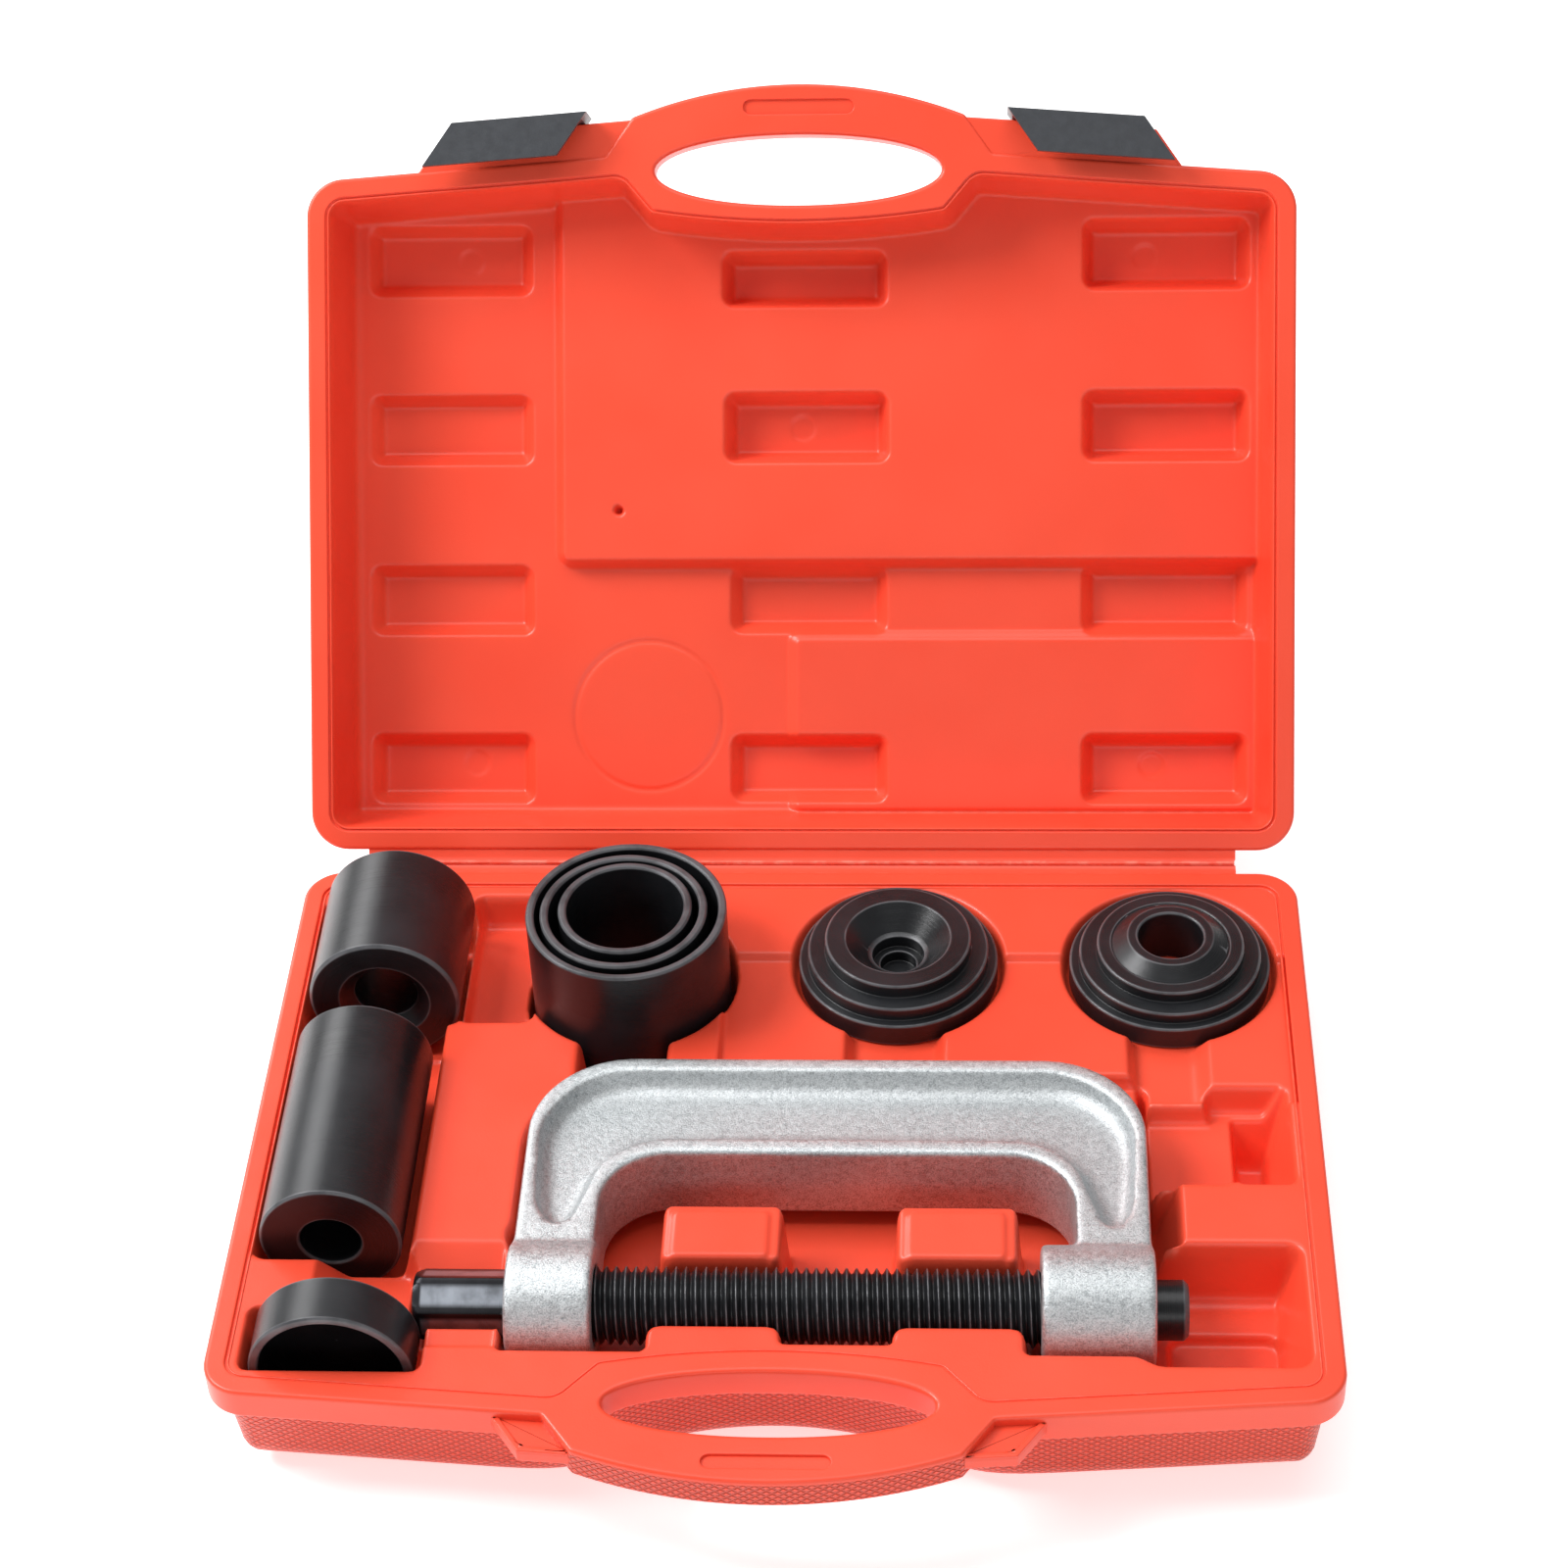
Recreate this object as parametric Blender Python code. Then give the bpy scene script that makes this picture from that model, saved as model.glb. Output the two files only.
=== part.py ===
"""Ball joint press kit in its blow-moulded carrying case, open on a bench.

Units are metres, +Z up.  The origin is the centre of the case's bottom face.  X runs along
the hinge, +Y points to the hinge at the back, and the carrying handle is at the front.
The lid is drawn closed over the base, in hinge coordinates, and hangs on an empty that is
turned to the open position.
"""
import math

import bmesh
import bpy

MM = 0.001

# Case ---------------------------------------------------------------------------------
CASE_WIDTH = 390 * MM
CASE_BACK = 129 * MM            # back edge of the rim
HINGE_Y = 134 * MM
BASE_DEPTH = 50 * MM
LID_DEPTH = 48 * MM
RIM_GAP = 0.3 * MM              # each rim stays this far from the hinge plane
LID_OPEN = math.radians(127.9)  # from closed to resting open
WALL = 2.2 * MM
CORNER = 15 * MM
BOTTOM_RADIUS = 15 * MM
BAND_DEPTH = 12 * MM            # the rim band, which stands proud of the textured wall
BAND_STEP = 5.5 * MM
WALL_INSET = 8 * MM             # of the wall's foot, where the bottom radius starts
RIM_LINE = 7 * MM               # width of the rim, up to the step line round the tray
FRONT_Y = -137 * MM             # front edge at the corners; it slopes out to the handle
FRONT_SLOPE = 0.075
FRONT_X = 181 * MM
GAP = 0.3 * MM

# Handle, shared by base and lid ---------------------------------------------------------
HOLE_HALF = 57 * MM
HOLE_BACK = -125 * MM
HOLE_FRONT = -153 * MM
HANDLE_FRONT = -172.5 * MM
HANDLE_HALF = 65.5 * MM
HANDLE_SIDE_Y = -160 * MM
HANDLE_ROOT = 76.4 * MM          # half width where it leaves the front edge
HANDLE_THICK = 13 * MM
BAY_RADIUS = 119 * MM           # the front wall curves in behind the finger hole
BAY_CENTRE = -243 * MM

# Latches, their rails on the lid and the ledges that they hook under on the base ---------
SLANT = 0.70                    # the ends of latches and ledges lean in toward the handle
SLANT_Y = -144 * MM             # x along a slanted end is stated at this y
LATCH_X = 93.9 * MM
LATCH_LENGTH = 53 * MM
LATCH_BACK = -143.9 * MM
LATCH_FRONT = -160.8 * MM
LEDGE_LENGTH = 19.4 * MM
RAIL_LENGTH = 76 * MM
RAIL_FRONT = -157.7 * MM
LEDGE_X = 74 * MM               # ledge and rail both start inside the handle's side
RAIL_Z = (1.0 * MM, 6.0 * MM)
LEDGE_Z = (41.3 * MM, 46.0 * MM)
LATCH_PLATE = 2.6 * MM

# Tray -----------------------------------------------------------------------------------
DECK = BASE_DEPTH - 1 * MM
TRAY_WALL = 1.6 * MM
TUBE_POCKET_RADIUS = 39.3 * MM
FRAME_FLOOR = 20.5 * MM
SLEEVE_FLOOR = 25.1 * MM
RING_FLOOR = 15.4 * MM
TUBE_FLOOR = 5.8 * MM
DISC_FLOOR = 40.2 * MM

# Lid panel, in depths from the hinge plane ------------------------------------------------
PANEL_DEPTH = 34 * MM
BLOCK_DEPTH = 27 * MM
BLOCK_LEFT = -99 * MM
BLOCK_START = 118 * MM             # from the hinge line
SMALL_BLOCK_DEPTH = 31 * MM
SMALL_BLOCK_LEFT = -5 * MM
SMALL_BLOCK_END = 91 * MM
POCKET_DEPTH = 41.5 * MM
FRONT_POCKET_DEPTH = 38 * MM    # behind the handle, where the bay comes close
POCKET_DRAFT = 4.5 * MM

# Press: C-frame and forcing screw ---------------------------------------------------------
SCREW_Y = -90.5 * MM
SCREW_Z = 43 * MM
FRAME_LEFT = -92.7 * MM
FRAME_RIGHT = 131.5 * MM
FRAME_BACK = 17 * MM
THROAT_LEFT = -63.2 * MM
THROAT_RIGHT = 104.5 * MM
THROAT_BACK = -32.3 * MM
FRAME_HALF = 16 * MM
WEB_HALF = 8.5 * MM
FLANGE = 8.5 * MM
BOSS_RADIUS = 22.2 * MM
RIGHT_BOSS_LEFT = 92.3 * MM
THREAD_RADIUS = 13.7 * MM
THREAD_CLEAR = 0.35 * MM
HEX_FLATS = 22.2 * MM
HEX_TURN = 26                   # degrees from one corner pointing back
HEX_LEFT = -126 * MM
THREAD_LEFT = -94.5 * MM
THREAD_RIGHT = 112 * MM
TIP_RADIUS = 10.5 * MM
TIP_RIGHT = 143.3 * MM
STUB_RADIUS = 5 * MM
STUB_LENGTH = 12 * MM
RING_GROOVE = (5 * MM, 7.1 * MM)   # from the shoulder of the tip

# Loose adapters ---------------------------------------------------------------------------
TUBE_LENGTH = 76.2 * MM
TUBE_X, TUBE_Y = -62.1 * MM, 71.4 * MM
TUBES = (  # name, outer diameter, inner diameter, offset from the pocket's centre
    ("receiving_tube_large", 76.2 * MM, 69.85 * MM, (0.0, 0.0)),
    ("receiving_tube_medium", 63.5 * MM, 57.15 * MM, (-1.0 * MM, 0.0)),
    ("receiving_tube_small", 50.8 * MM, 44.45 * MM, (-0.6 * MM, 1.6 * MM)),
)
DISC_RADII = (38.1 * MM, 34.5 * MM, 27.9 * MM)   # fit over, and inside, the three tubes
DISC_FLANGE = 9.5 * MM
CONCAVE_XY = (40.2 * MM, 79.7 * MM)
CONICAL_XY = (143.8 * MM, 78.6 * MM)
DISC_POCKET_RADIUS = 39.5 * MM
LARGE_SLEEVE_X, LARGE_SLEEVE_Y = -154.4 * MM, (50.3 * MM, 105.5 * MM)
LONG_SLEEVE_X, LONG_SLEEVE_Y = -158.6 * MM, (-68.8 * MM, 26.0 * MM)
CUP_X, CUP_Y = -151.5 * MM, (-123.4 * MM, -104.4 * MM)
LARGE_SLEEVE_RADIUS = 28.6 * MM
LONG_SLEEVE_RADIUS = 25.4 * MM
CUP_RADIUS = 28.6 * MM

ROUND = 36                      # sides of a large turned piece
CORNER_STEPS = 4
BAY_STEPS = 12


# ---- helpers -----------------------------------------------------------------------------

def clear_scene():
    for obj in list(bpy.data.objects):
        bpy.data.objects.remove(obj, do_unlink=True)


def material(name, colour, roughness, metallic=0.0):
    mat = bpy.data.materials.new(name)
    mat.use_nodes = True
    shader = mat.node_tree.nodes["Principled BSDF"]
    shader.inputs["Base Color"].default_value = (*colour, 1.0)
    shader.inputs["Roughness"].default_value = roughness
    shader.inputs["Metallic"].default_value = metallic
    return mat


def finish_mesh(name, bm, mat, parent=None):
    bmesh.ops.recalc_face_normals(bm, faces=bm.faces)
    mesh = bpy.data.meshes.new(name)
    bm.to_mesh(mesh)
    bm.free()
    obj = bpy.data.objects.new(name, mesh)
    bpy.context.scene.collection.objects.link(obj)
    if mat:
        mesh.materials.append(mat)
    obj.parent = parent
    return obj


def smooth_round(obj, angle=40):
    obj.data.shade_smooth()
    obj.data.set_sharp_from_angle(angle=math.radians(angle))


def stack(name, loops, mat, parent=None):
    """A closed solid through loops of equal count, each a list of (x, y, z), capped at both ends."""
    bm = bmesh.new()
    rings = [[bm.verts.new(p) for p in loop] for loop in loops]
    count = len(rings[0])
    for low, high in zip(rings, rings[1:]):
        for i in range(count):
            j = (i + 1) % count
            bm.faces.new((low[i], low[j], high[j], high[i]))
    bm.faces.new(rings[0])
    bm.faces.new(rings[-1])
    return finish_mesh(name, bm, mat, parent)


def prism(name, outline, z0, z1, mat=None, parent=None):
    return stack(name, [[(x, y, z) for x, y in outline] for z in (z0, z1)], mat, parent)


def turned(name, profile, mat, sides=ROUND, axis="Z", at=(0, 0, 0), parent=None):
    """A solid of revolution from a closed (radius, height) profile that stays off the axis."""
    bm = bmesh.new()
    verts = [bm.verts.new((r, 0, h)) for r, h in profile]
    edges = [bm.edges.new((verts[i], verts[(i + 1) % len(verts)])) for i in range(len(verts))]
    bmesh.ops.spin(bm, geom=verts + edges, cent=(0, 0, 0), axis=(0, 0, 1), angle=2 * math.pi,
                   steps=sides, use_merge=True)
    obj = finish_mesh(name, bm, mat, parent)
    smooth_round(obj)
    turn_to(obj, axis)
    obj.location = at
    return obj


def turned_blind(name, profile, mat, axis="Z", at=(0, 0, 0)):
    """A solid of revolution whose (radius, height) profile starts and ends in a flat face."""
    loops = [[(x, y, h) for x, y in circle(0, 0, r, ROUND)] for r, h in profile]
    obj = stack(name, loops, mat)
    smooth_round(obj)
    turn_to(obj, axis)
    obj.location = at
    return obj


def turn_to(obj, axis):
    """Lay a piece drawn along +Z along +X, or along -Y so that its top faces the front."""
    if axis == "X":
        obj.rotation_euler = (0, math.pi / 2, 0)
    elif axis == "-Y":
        obj.rotation_euler = (math.pi / 2, 0, 0)


def rod(name, radius, x0, x1, y, z, sides=ROUND, mat=None):
    """A plain cylinder along X."""
    half = [(radius * math.cos(2 * math.pi * i / sides), radius * math.sin(2 * math.pi * i / sides))
            for i in range(sides)]
    return stack(name, [[(x, y + a, z + b) for a, b in half] for x in (x0, x1)], mat)


def boolean(obj, cutter, operation):
    """Add a Boolean and keep its operand as a hidden wire guide."""
    mod = obj.modifiers.new(operation.lower() + "_" + cutter.name, "BOOLEAN")
    mod.operation = operation
    mod.object = cutter
    mod.solver = "EXACT"
    cutter.hide_render = True
    cutter.display_type = "WIRE"


def cut(obj, *cutters):
    for cutter in cutters:
        boolean(obj, cutter, "DIFFERENCE")


def join(obj, *others):
    for other in others:
        boolean(obj, other, "UNION")


def arc(cx, cy, radius, start, end, steps):
    """Points along an arc, angles in degrees, ends included."""
    angles = [math.radians(start + (end - start) * i / steps) for i in range(steps + 1)]
    return [(cx + radius * math.cos(a), cy + radius * math.sin(a)) for a in angles]


def circle(cx, cy, radius, sides):
    return arc(cx, cy, radius, 0, 360 * (1 - 1 / sides), sides - 1)


def case_outline(inset):
    """The case's plan, counter-clockwise, moved in by inset, with the bay behind the handle."""
    half = CASE_WIDTH / 2 - inset
    back = CASE_BACK - inset
    r = max(CORNER - inset, 4 * MM)
    stretch = math.hypot(1, FRONT_SLOPE)
    slope = math.degrees(math.atan(FRONT_SLOPE))

    def front(x):
        return FRONT_Y + FRONT_SLOPE * (abs(x) - FRONT_X) + inset * stretch

    cx = half - r
    cy = front(cx) + r * stretch
    # Where the sloping front edge meets the bay's arc.
    radius = BAY_RADIUS + inset
    a = 1 + FRONT_SLOPE ** 2
    b = front(0) - BAY_CENTRE
    root = math.sqrt((FRONT_SLOPE * b) ** 2 - a * (b * b - radius * radius))
    meet = (-FRONT_SLOPE * b + root) / a
    swing = math.degrees(math.asin(meet / radius))
    return (arc(cx, back - r, r, 0, 90, CORNER_STEPS)
            + arc(-cx, back - r, r, 90, 180, CORNER_STEPS)
            + arc(-cx, cy, r, 180, 270 - slope, CORNER_STEPS)
            + arc(0, BAY_CENTRE, radius, 90 + swing, 90 - swing, BAY_STEPS)
            + arc(cx, cy, r, 270 + slope, 360, CORNER_STEPS))


def case_loops(levels, origin=(0, 0)):
    """Case outlines at (height, inset) levels; origin shifts them into hinge coordinates."""
    oy, oz = origin
    return [[(x, y - oy, z - oz) for x, y in case_outline(inset)] for z, inset in levels]


def shell_levels(depth, sign, start):
    """Levels of a thin tub from its inner floor, up over the rim and down the outside."""
    def z(d):
        return start + sign * d

    def rounded(radius, foot, inset, steps=4):
        turns = [math.radians(90 * i / steps) for i in range(steps + 1)]
        return [(foot + radius * math.sin(t), inset + radius * (1 - math.cos(t))) for t in turns]

    outside = [(0, 0), (BAND_DEPTH, 0), (BAND_DEPTH, BAND_STEP)]
    outside += rounded(BOTTOM_RADIUS, depth - BOTTOM_RADIUS, WALL_INSET)
    inner_radius = BOTTOM_RADIUS - WALL
    inside = [(0, RIM_LINE), (BAND_DEPTH + WALL, BAND_STEP + WALL)]
    inside += rounded(inner_radius, depth - BOTTOM_RADIUS, WALL_INSET + WALL)
    return [(z(d), i) for d, i in reversed(inside)] + [(z(d), i) for d, i in outside]


def sagitta_arc(half, y_end, y_mid, steps):
    """An arc from (-half, y_end) over (0, y_mid) to (half, y_end)."""
    rise = y_mid - y_end
    radius = (half * half + rise * rise) / (2 * abs(rise))
    centre = y_mid - math.copysign(radius, rise)
    swing = math.degrees(math.asin(half / radius))
    middle = math.copysign(90, rise)
    return arc(0, centre, radius, middle + math.copysign(swing, rise),
               middle - math.copysign(swing, rise), steps)


def hole_outline():
    middle = (HOLE_BACK + HOLE_FRONT) / 2
    back = sagitta_arc(HOLE_HALF, middle, HOLE_BACK, 10)
    front = sagitta_arc(HOLE_HALF, middle, HOLE_FRONT, 10)
    return list(reversed(back)) + front[1:-1]


def handle_outline():
    front = sagitta_arc(HANDLE_HALF, HANDLE_SIDE_Y, HANDLE_FRONT, 12)
    return front + [(HANDLE_ROOT, SLANT_Y), (74 * MM, -139 * MM), (0, -122 * MM),
                    (-74 * MM, -139 * MM), (-HANDLE_ROOT, SLANT_Y)]


def slanted(side, start, length, y_back, y_front):
    """A parallelogram beside the handle; side is -1 for left and 1 for right."""
    def corner(along, y):
        x = start + along - SLANT * (SLANT_Y - y)
        return side * x, y + FRONT_SLOPE * (start + along - LATCH_X)
    points = [corner(0, y_back), corner(length, y_back), corner(length, y_front), corner(0, y_front)]
    return points if side < 0 else list(reversed(points))


def shifted(outline, dy):
    return [(x, y - dy) for x, y in outline]


# ---- case --------------------------------------------------------------------------------

def base_outer_shell(mat):
    shell = stack("base_outer_shell", case_loops(shell_levels(BASE_DEPTH, -1, BASE_DEPTH)), mat)
    handle = prism("base_handle_guide", handle_outline(), BASE_DEPTH - HANDLE_THICK, BASE_DEPTH)
    room = stack("base_room_guide",
                 case_loops([(WALL * 2, 30 * MM), (BASE_DEPTH + 1 * MM, RIM_LINE)]), None)
    cut(handle, prism("base_hole_guide", hole_outline(), 0, 2 * BASE_DEPTH), room)
    join(shell, handle)
    for side, name in ((-1, "left"), (1, "right")):
        ledge = slanted(side, LEDGE_X, LEDGE_LENGTH, -141 * MM, RAIL_FRONT)
        join(shell, prism("ledge_guide_" + name, ledge, *LEDGE_Z))
    web = prism("base_web_guide", [(-172 * MM, 128 * MM), (172 * MM, 128 * MM),
                                   (172 * MM, 132.6 * MM), (-172 * MM, 132.6 * MM)],
                BASE_DEPTH - 2.4 * MM, BASE_DEPTH - 0.8 * MM)
    join(shell, web)
    return shell


def drafted_box(name, x, y, z, draft=0.0, grow=0.0):
    """A box whose foot is drawn in by draft and whose every wall but the top is grown."""
    (x0, x1), (y0, y1), (z0, z1) = x, y, z
    loops = []
    for height, inset in ((z0 - grow, draft), (z1, 0.0)):
        a = grow - inset
        loops.append([(x0 - a, y0 - a, height), (x1 + a, y0 - a, height),
                      (x1 + a, y1 + a, height), (x0 - a, y1 + a, height)])
    return stack(name, loops, None)


def tray_pockets():
    """Each pocket as (name, x range, y range, floor, draft)."""
    return (
        ("large_sleeve", (-186 * MM, -125 * MM), (44 * MM, 110 * MM), SLEEVE_FLOOR, 2.4 * MM),
        ("long_sleeve", (-186 * MM, -131 * MM), (-74 * MM, 52 * MM), SLEEVE_FLOOR, 2.3 * MM),
        ("cup", (-182 * MM, -121 * MM), (-124.8 * MM, -99 * MM), RING_FLOOR, 1.0 * MM),
        ("finger_left", (-128 * MM, -96 * MM), (46 * MM, 114 * MM), 35 * MM, 1.0 * MM),
        ("tube_channel", (-78 * MM, -46 * MM), (10 * MM, 60 * MM), FRAME_FLOOR + 0.9 * MM, 1.5 * MM),
        ("concave_channel", (22 * MM, 57 * MM), (10 * MM, 60 * MM), DISC_FLOOR - 0.4 * MM, 0.8 * MM),
        ("conical_channel", (124 * MM, 152 * MM), (9 * MM, 60 * MM), DISC_FLOOR - 0.4 * MM, 0.8 * MM),
        ("frame_spine", (-97 * MM, 136 * MM), (-66 * MM, 25 * MM), FRAME_FLOOR, 2.0 * MM),
        ("frame_left_boss", (-97 * MM, -58 * MM), (-114.8 * MM, -60 * MM), FRAME_FLOOR - 0.9 * MM,
         0.4 * MM),
        ("frame_right_boss", (88 * MM, 136 * MM), (-114.8 * MM, -62 * MM), FRAME_FLOOR - 0.5 * MM,
         0.4 * MM),
        ("screw_bay", (-60 * MM, 90 * MM), (-104.6 * MM, -60 * MM), FRAME_FLOOR - 1.4 * MM, 0.0),
        ("hex_channel", (-129 * MM, -94 * MM), (-105 * MM, -76.6 * MM), 27 * MM, 0.8 * MM),
        ("nose_room", (133 * MM, 184 * MM), (-118 * MM, -65.5 * MM), FRAME_FLOOR + 2 * MM, 2.0 * MM),
        ("side_shelf", (132 * MM, 168 * MM), (-34 * MM, 10 * MM), 35 * MM, 1.2 * MM),
        ("small_parts", (164 * MM, 185.5 * MM), (-34.5 * MM, 12 * MM), 17 * MM, 3 * MM),
    )


def tray_round_pockets():
    """Each round pocket as (name, centre, radius, floor)."""
    return (
        ("tube", (TUBE_X, TUBE_Y), TUBE_POCKET_RADIUS, TUBE_FLOOR),
        ("concave", CONCAVE_XY, DISC_POCKET_RADIUS, DISC_FLOOR),
        ("conical", CONICAL_XY, DISC_POCKET_RADIUS, DISC_FLOOR),
    )


def base_tray(mat):
    top = DECK + 20 * MM
    underside = DECK - 0.6 * MM
    inset = RIM_LINE + GAP
    tray = stack("base_tray", case_loops([(DECK - TRAY_WALL, inset), (DECK, inset)]), mat)
    for name, x, y, floor, draft in tray_pockets():
        join(tray, drafted_box(name + "_tub_guide", x, y, (floor, underside), draft, TRAY_WALL))
    for name, centre, radius, floor in tray_round_pockets():
        tub = circle(*centre, radius + TRAY_WALL, ROUND)
        join(tray, prism(name + "_tub_guide", tub, floor - TRAY_WALL, underside))
    for name, x, y, floor, draft in tray_pockets():
        cut(tray, drafted_box(name + "_room_guide", x, y, (floor, top), draft))
    for name, centre, radius, floor in tray_round_pockets():
        cut(tray, prism(name + "_room_guide", circle(*centre, radius, ROUND), floor, top))
    # Two blocks stand in the frame's throat, under the screw's thread.
    for name, x0 in (("left", -42 * MM), ("right", 41.5 * MM)):
        block = drafted_box(name + "_block_guide", (x0 - 1.5 * MM, x0 + 45.5 * MM),
                            (-75.8 * MM, -46.5 * MM), (FRAME_FLOOR - 2.2 * MM, DECK), -1.5 * MM)
        join(tray, block)
    return tray


def lid_outer_shell(mat, hinge):
    oz = -RIM_GAP
    levels = shell_levels(LID_DEPTH, 1, 0)
    lid = stack("lid_outer_shell", case_loops(levels, (HINGE_Y, oz)), mat, hinge)
    start = RIM_GAP

    def guide(name, outline, z0, z1):
        return prism(name, shifted(outline, HINGE_Y), z0, z1, None, hinge)

    handle = guide("lid_handle_guide", handle_outline(), start, start + HANDLE_THICK)
    room = stack("lid_room_guide", case_loops([(-1 * MM, RIM_LINE), (LID_DEPTH - 2 * WALL, 30 * MM)],
                                              (HINGE_Y, oz)), None, hinge)
    cut(handle, guide("lid_hole_guide", hole_outline(), -20 * MM, 60 * MM), room)
    join(lid, handle)
    for side, name in ((-1, "left"), (1, "right")):
        rail = slanted(side, LEDGE_X, RAIL_LENGTH, -140.5 * MM, RAIL_FRONT)
        join(lid, guide("rail_guide_" + name, rail, *RAIL_Z))
    web = guide("lid_web_guide", [(-172 * MM, 128 * MM), (172 * MM, 128 * MM),
                                  (172 * MM, 132.6 * MM), (-172 * MM, 132.6 * MM)],
                1.1 * MM, 2.7 * MM)
    join(lid, web)
    return lid


def lid_pockets():
    """Tack-off pockets of the lid panel: centre x, distance from the hinge, width, height, and
    the depths of mouth and floor."""
    rows = (242 * MM, 173.6 * MM, 104.5 * MM, 36 * MM)
    for x in (-142.5 * MM, 2 * MM, 145.7 * MM):
        for s in rows:
            mouth = PANEL_DEPTH
            if x > BLOCK_LEFT and s > BLOCK_START:
                mouth = BLOCK_DEPTH
            elif x > SMALL_BLOCK_LEFT and s < SMALL_BLOCK_END:
                mouth = SMALL_BLOCK_DEPTH
            if x == 2 * MM and s == rows[0]:
                yield x - 0.7 * MM, 233.6 * MM, 65 * MM, 21 * MM, mouth, FRONT_POCKET_DEPTH
            elif x == 2 * MM and s in rows[2:]:
                yield x + 0.5 * MM, s, 62 * MM, 26 * MM, mouth, POCKET_DEPTH
            else:
                yield x, s, 65 * MM, 27 * MM, mouth, POCKET_DEPTH


def lid_inner_panel(mat, hinge):
    inset = RIM_LINE + GAP
    lip = 1.3 * MM
    skin = 2 * MM
    levels = ((PANEL_DEPTH, 17 * MM), (lip, 10.5 * MM), (lip, inset), (lip + skin, inset),
              (lip + skin, 8.6 * MM), (PANEL_DEPTH + skin, 15.3 * MM))
    panel = stack("lid_inner_panel", case_loops(levels, (HINGE_Y, 0)), mat, hinge)

    def region(name, inset, z, x, s):
        guide = stack(name, case_loops([(z[0], inset), (z[1], inset)], (HINGE_Y, 0)), None, hinge)
        box = drafted_box(name + "_limit", x, (-s[1], -s[0]), (z[0] - 1 * MM, z[1] + 1 * MM))
        box.parent = hinge
        boolean(guide, box, "INTERSECT")
        return guide

    blocks = (("block", BLOCK_DEPTH, BLOCK_LEFT, (BLOCK_START, 300 * MM)),
              ("small_block", SMALL_BLOCK_DEPTH, SMALL_BLOCK_LEFT, (14 * MM, SMALL_BLOCK_END)))
    for name, depth, x0, (s0, s1) in blocks:
        join(panel, region(name + "_guide", 15.8 * MM, (depth, PANEL_DEPTH + 1 * MM),
                           (x0, 300 * MM), (s0, s1)))
    for name, depth, x0, (s0, s1) in blocks:
        cut(panel, region(name + "_back_guide", 18.5 * MM, (depth + skin, PANEL_DEPTH + 5 * MM),
                          (x0 + skin, 300 * MM), (s0 + skin, s1 - skin)))
    for grow, action in ((TRAY_WALL, join), (0.0, cut)):
        for i, (x, s, width, height, mouth, depth) in enumerate(lid_pockets()):
            top = mouth + 0.7 * MM if grow else mouth - 6 * MM
            a, b = width / 2 + grow, height / 2 + grow
            loops = []
            for z, draft in ((top, 0.0), (depth + grow, POCKET_DRAFT)):
                loops.append([(x + m * (a - draft), -s + n * (b - draft), z)
                              for m, n in ((-1, -1), (1, -1), (1, 1), (-1, 1))])
            name = "pocket_%02d_%s_guide" % (i, "tub" if grow else "room")
            action(panel, stack(name, loops, None, hinge))
        if grow:
            # One pocket lies across the small block's edge; its wall stops at the lower side.
            trim = drafted_box("pocket_trim_guide", (-40 * MM, SMALL_BLOCK_LEFT - 0.2 * MM),
                               (-60 * MM, -22.4 * MM), (25 * MM, PANEL_DEPTH - 0.2 * MM))
            trim.parent = hinge
            cut(panel, trim)
    return panel


def hinge_strip(mat):
    """The thin bending line of the moulding, between the webs of base and lid."""
    half = 171.5 * MM
    sides = 8
    loop = circle(0, 0, 0.9 * MM, sides)
    strip = stack("living_hinge_strip", [[(x, HINGE_Y + a, BASE_DEPTH + RIM_GAP + b) for a, b in loop]
                                         for x in (-half, half)], mat)
    return strip


def latch(side, name, mat, hinge):
    """A C-shaped slider round the lid's rail, drawn unlocked; its open side faces the case."""
    outer = (RAIL_Z[1] + GAP, RAIL_Z[1] + GAP + LATCH_PLATE)
    ledge = LEDGE_Z[0] - BASE_DEPTH - RIM_GAP
    inner = (ledge - GAP - LATCH_PLATE, ledge - GAP)
    body = slanted(side, LATCH_X, LATCH_LENGTH, LATCH_BACK, LATCH_FRONT)
    slot = slanted(side, LATCH_X - 30 * MM, LATCH_LENGTH + 60 * MM, -130 * MM, RAIL_FRONT - GAP)
    piece = prism(name, shifted(body, HINGE_Y), inner[0], outer[1], mat, hinge)
    cut(piece, prism(name + "_slot_guide", shifted(slot, HINGE_Y), inner[1], outer[0], None, hinge))
    return piece


# ---- press -------------------------------------------------------------------------------

def rounded_rectangle(x0, x1, y0, y1, radii, steps=6):
    """Corner radii run front-left, front-right, back-right, back-left."""
    fl, fr, br, bl = radii
    return (arc(x0 + fl, y0 + fl, fl, 180, 270, steps) + arc(x1 - fr, y0 + fr, fr, 270, 360, steps)
            + arc(x1 - br, y1 - br, br, 0, 90, steps) + arc(x0 + bl, y1 - bl, bl, 90, 180, steps))


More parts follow.
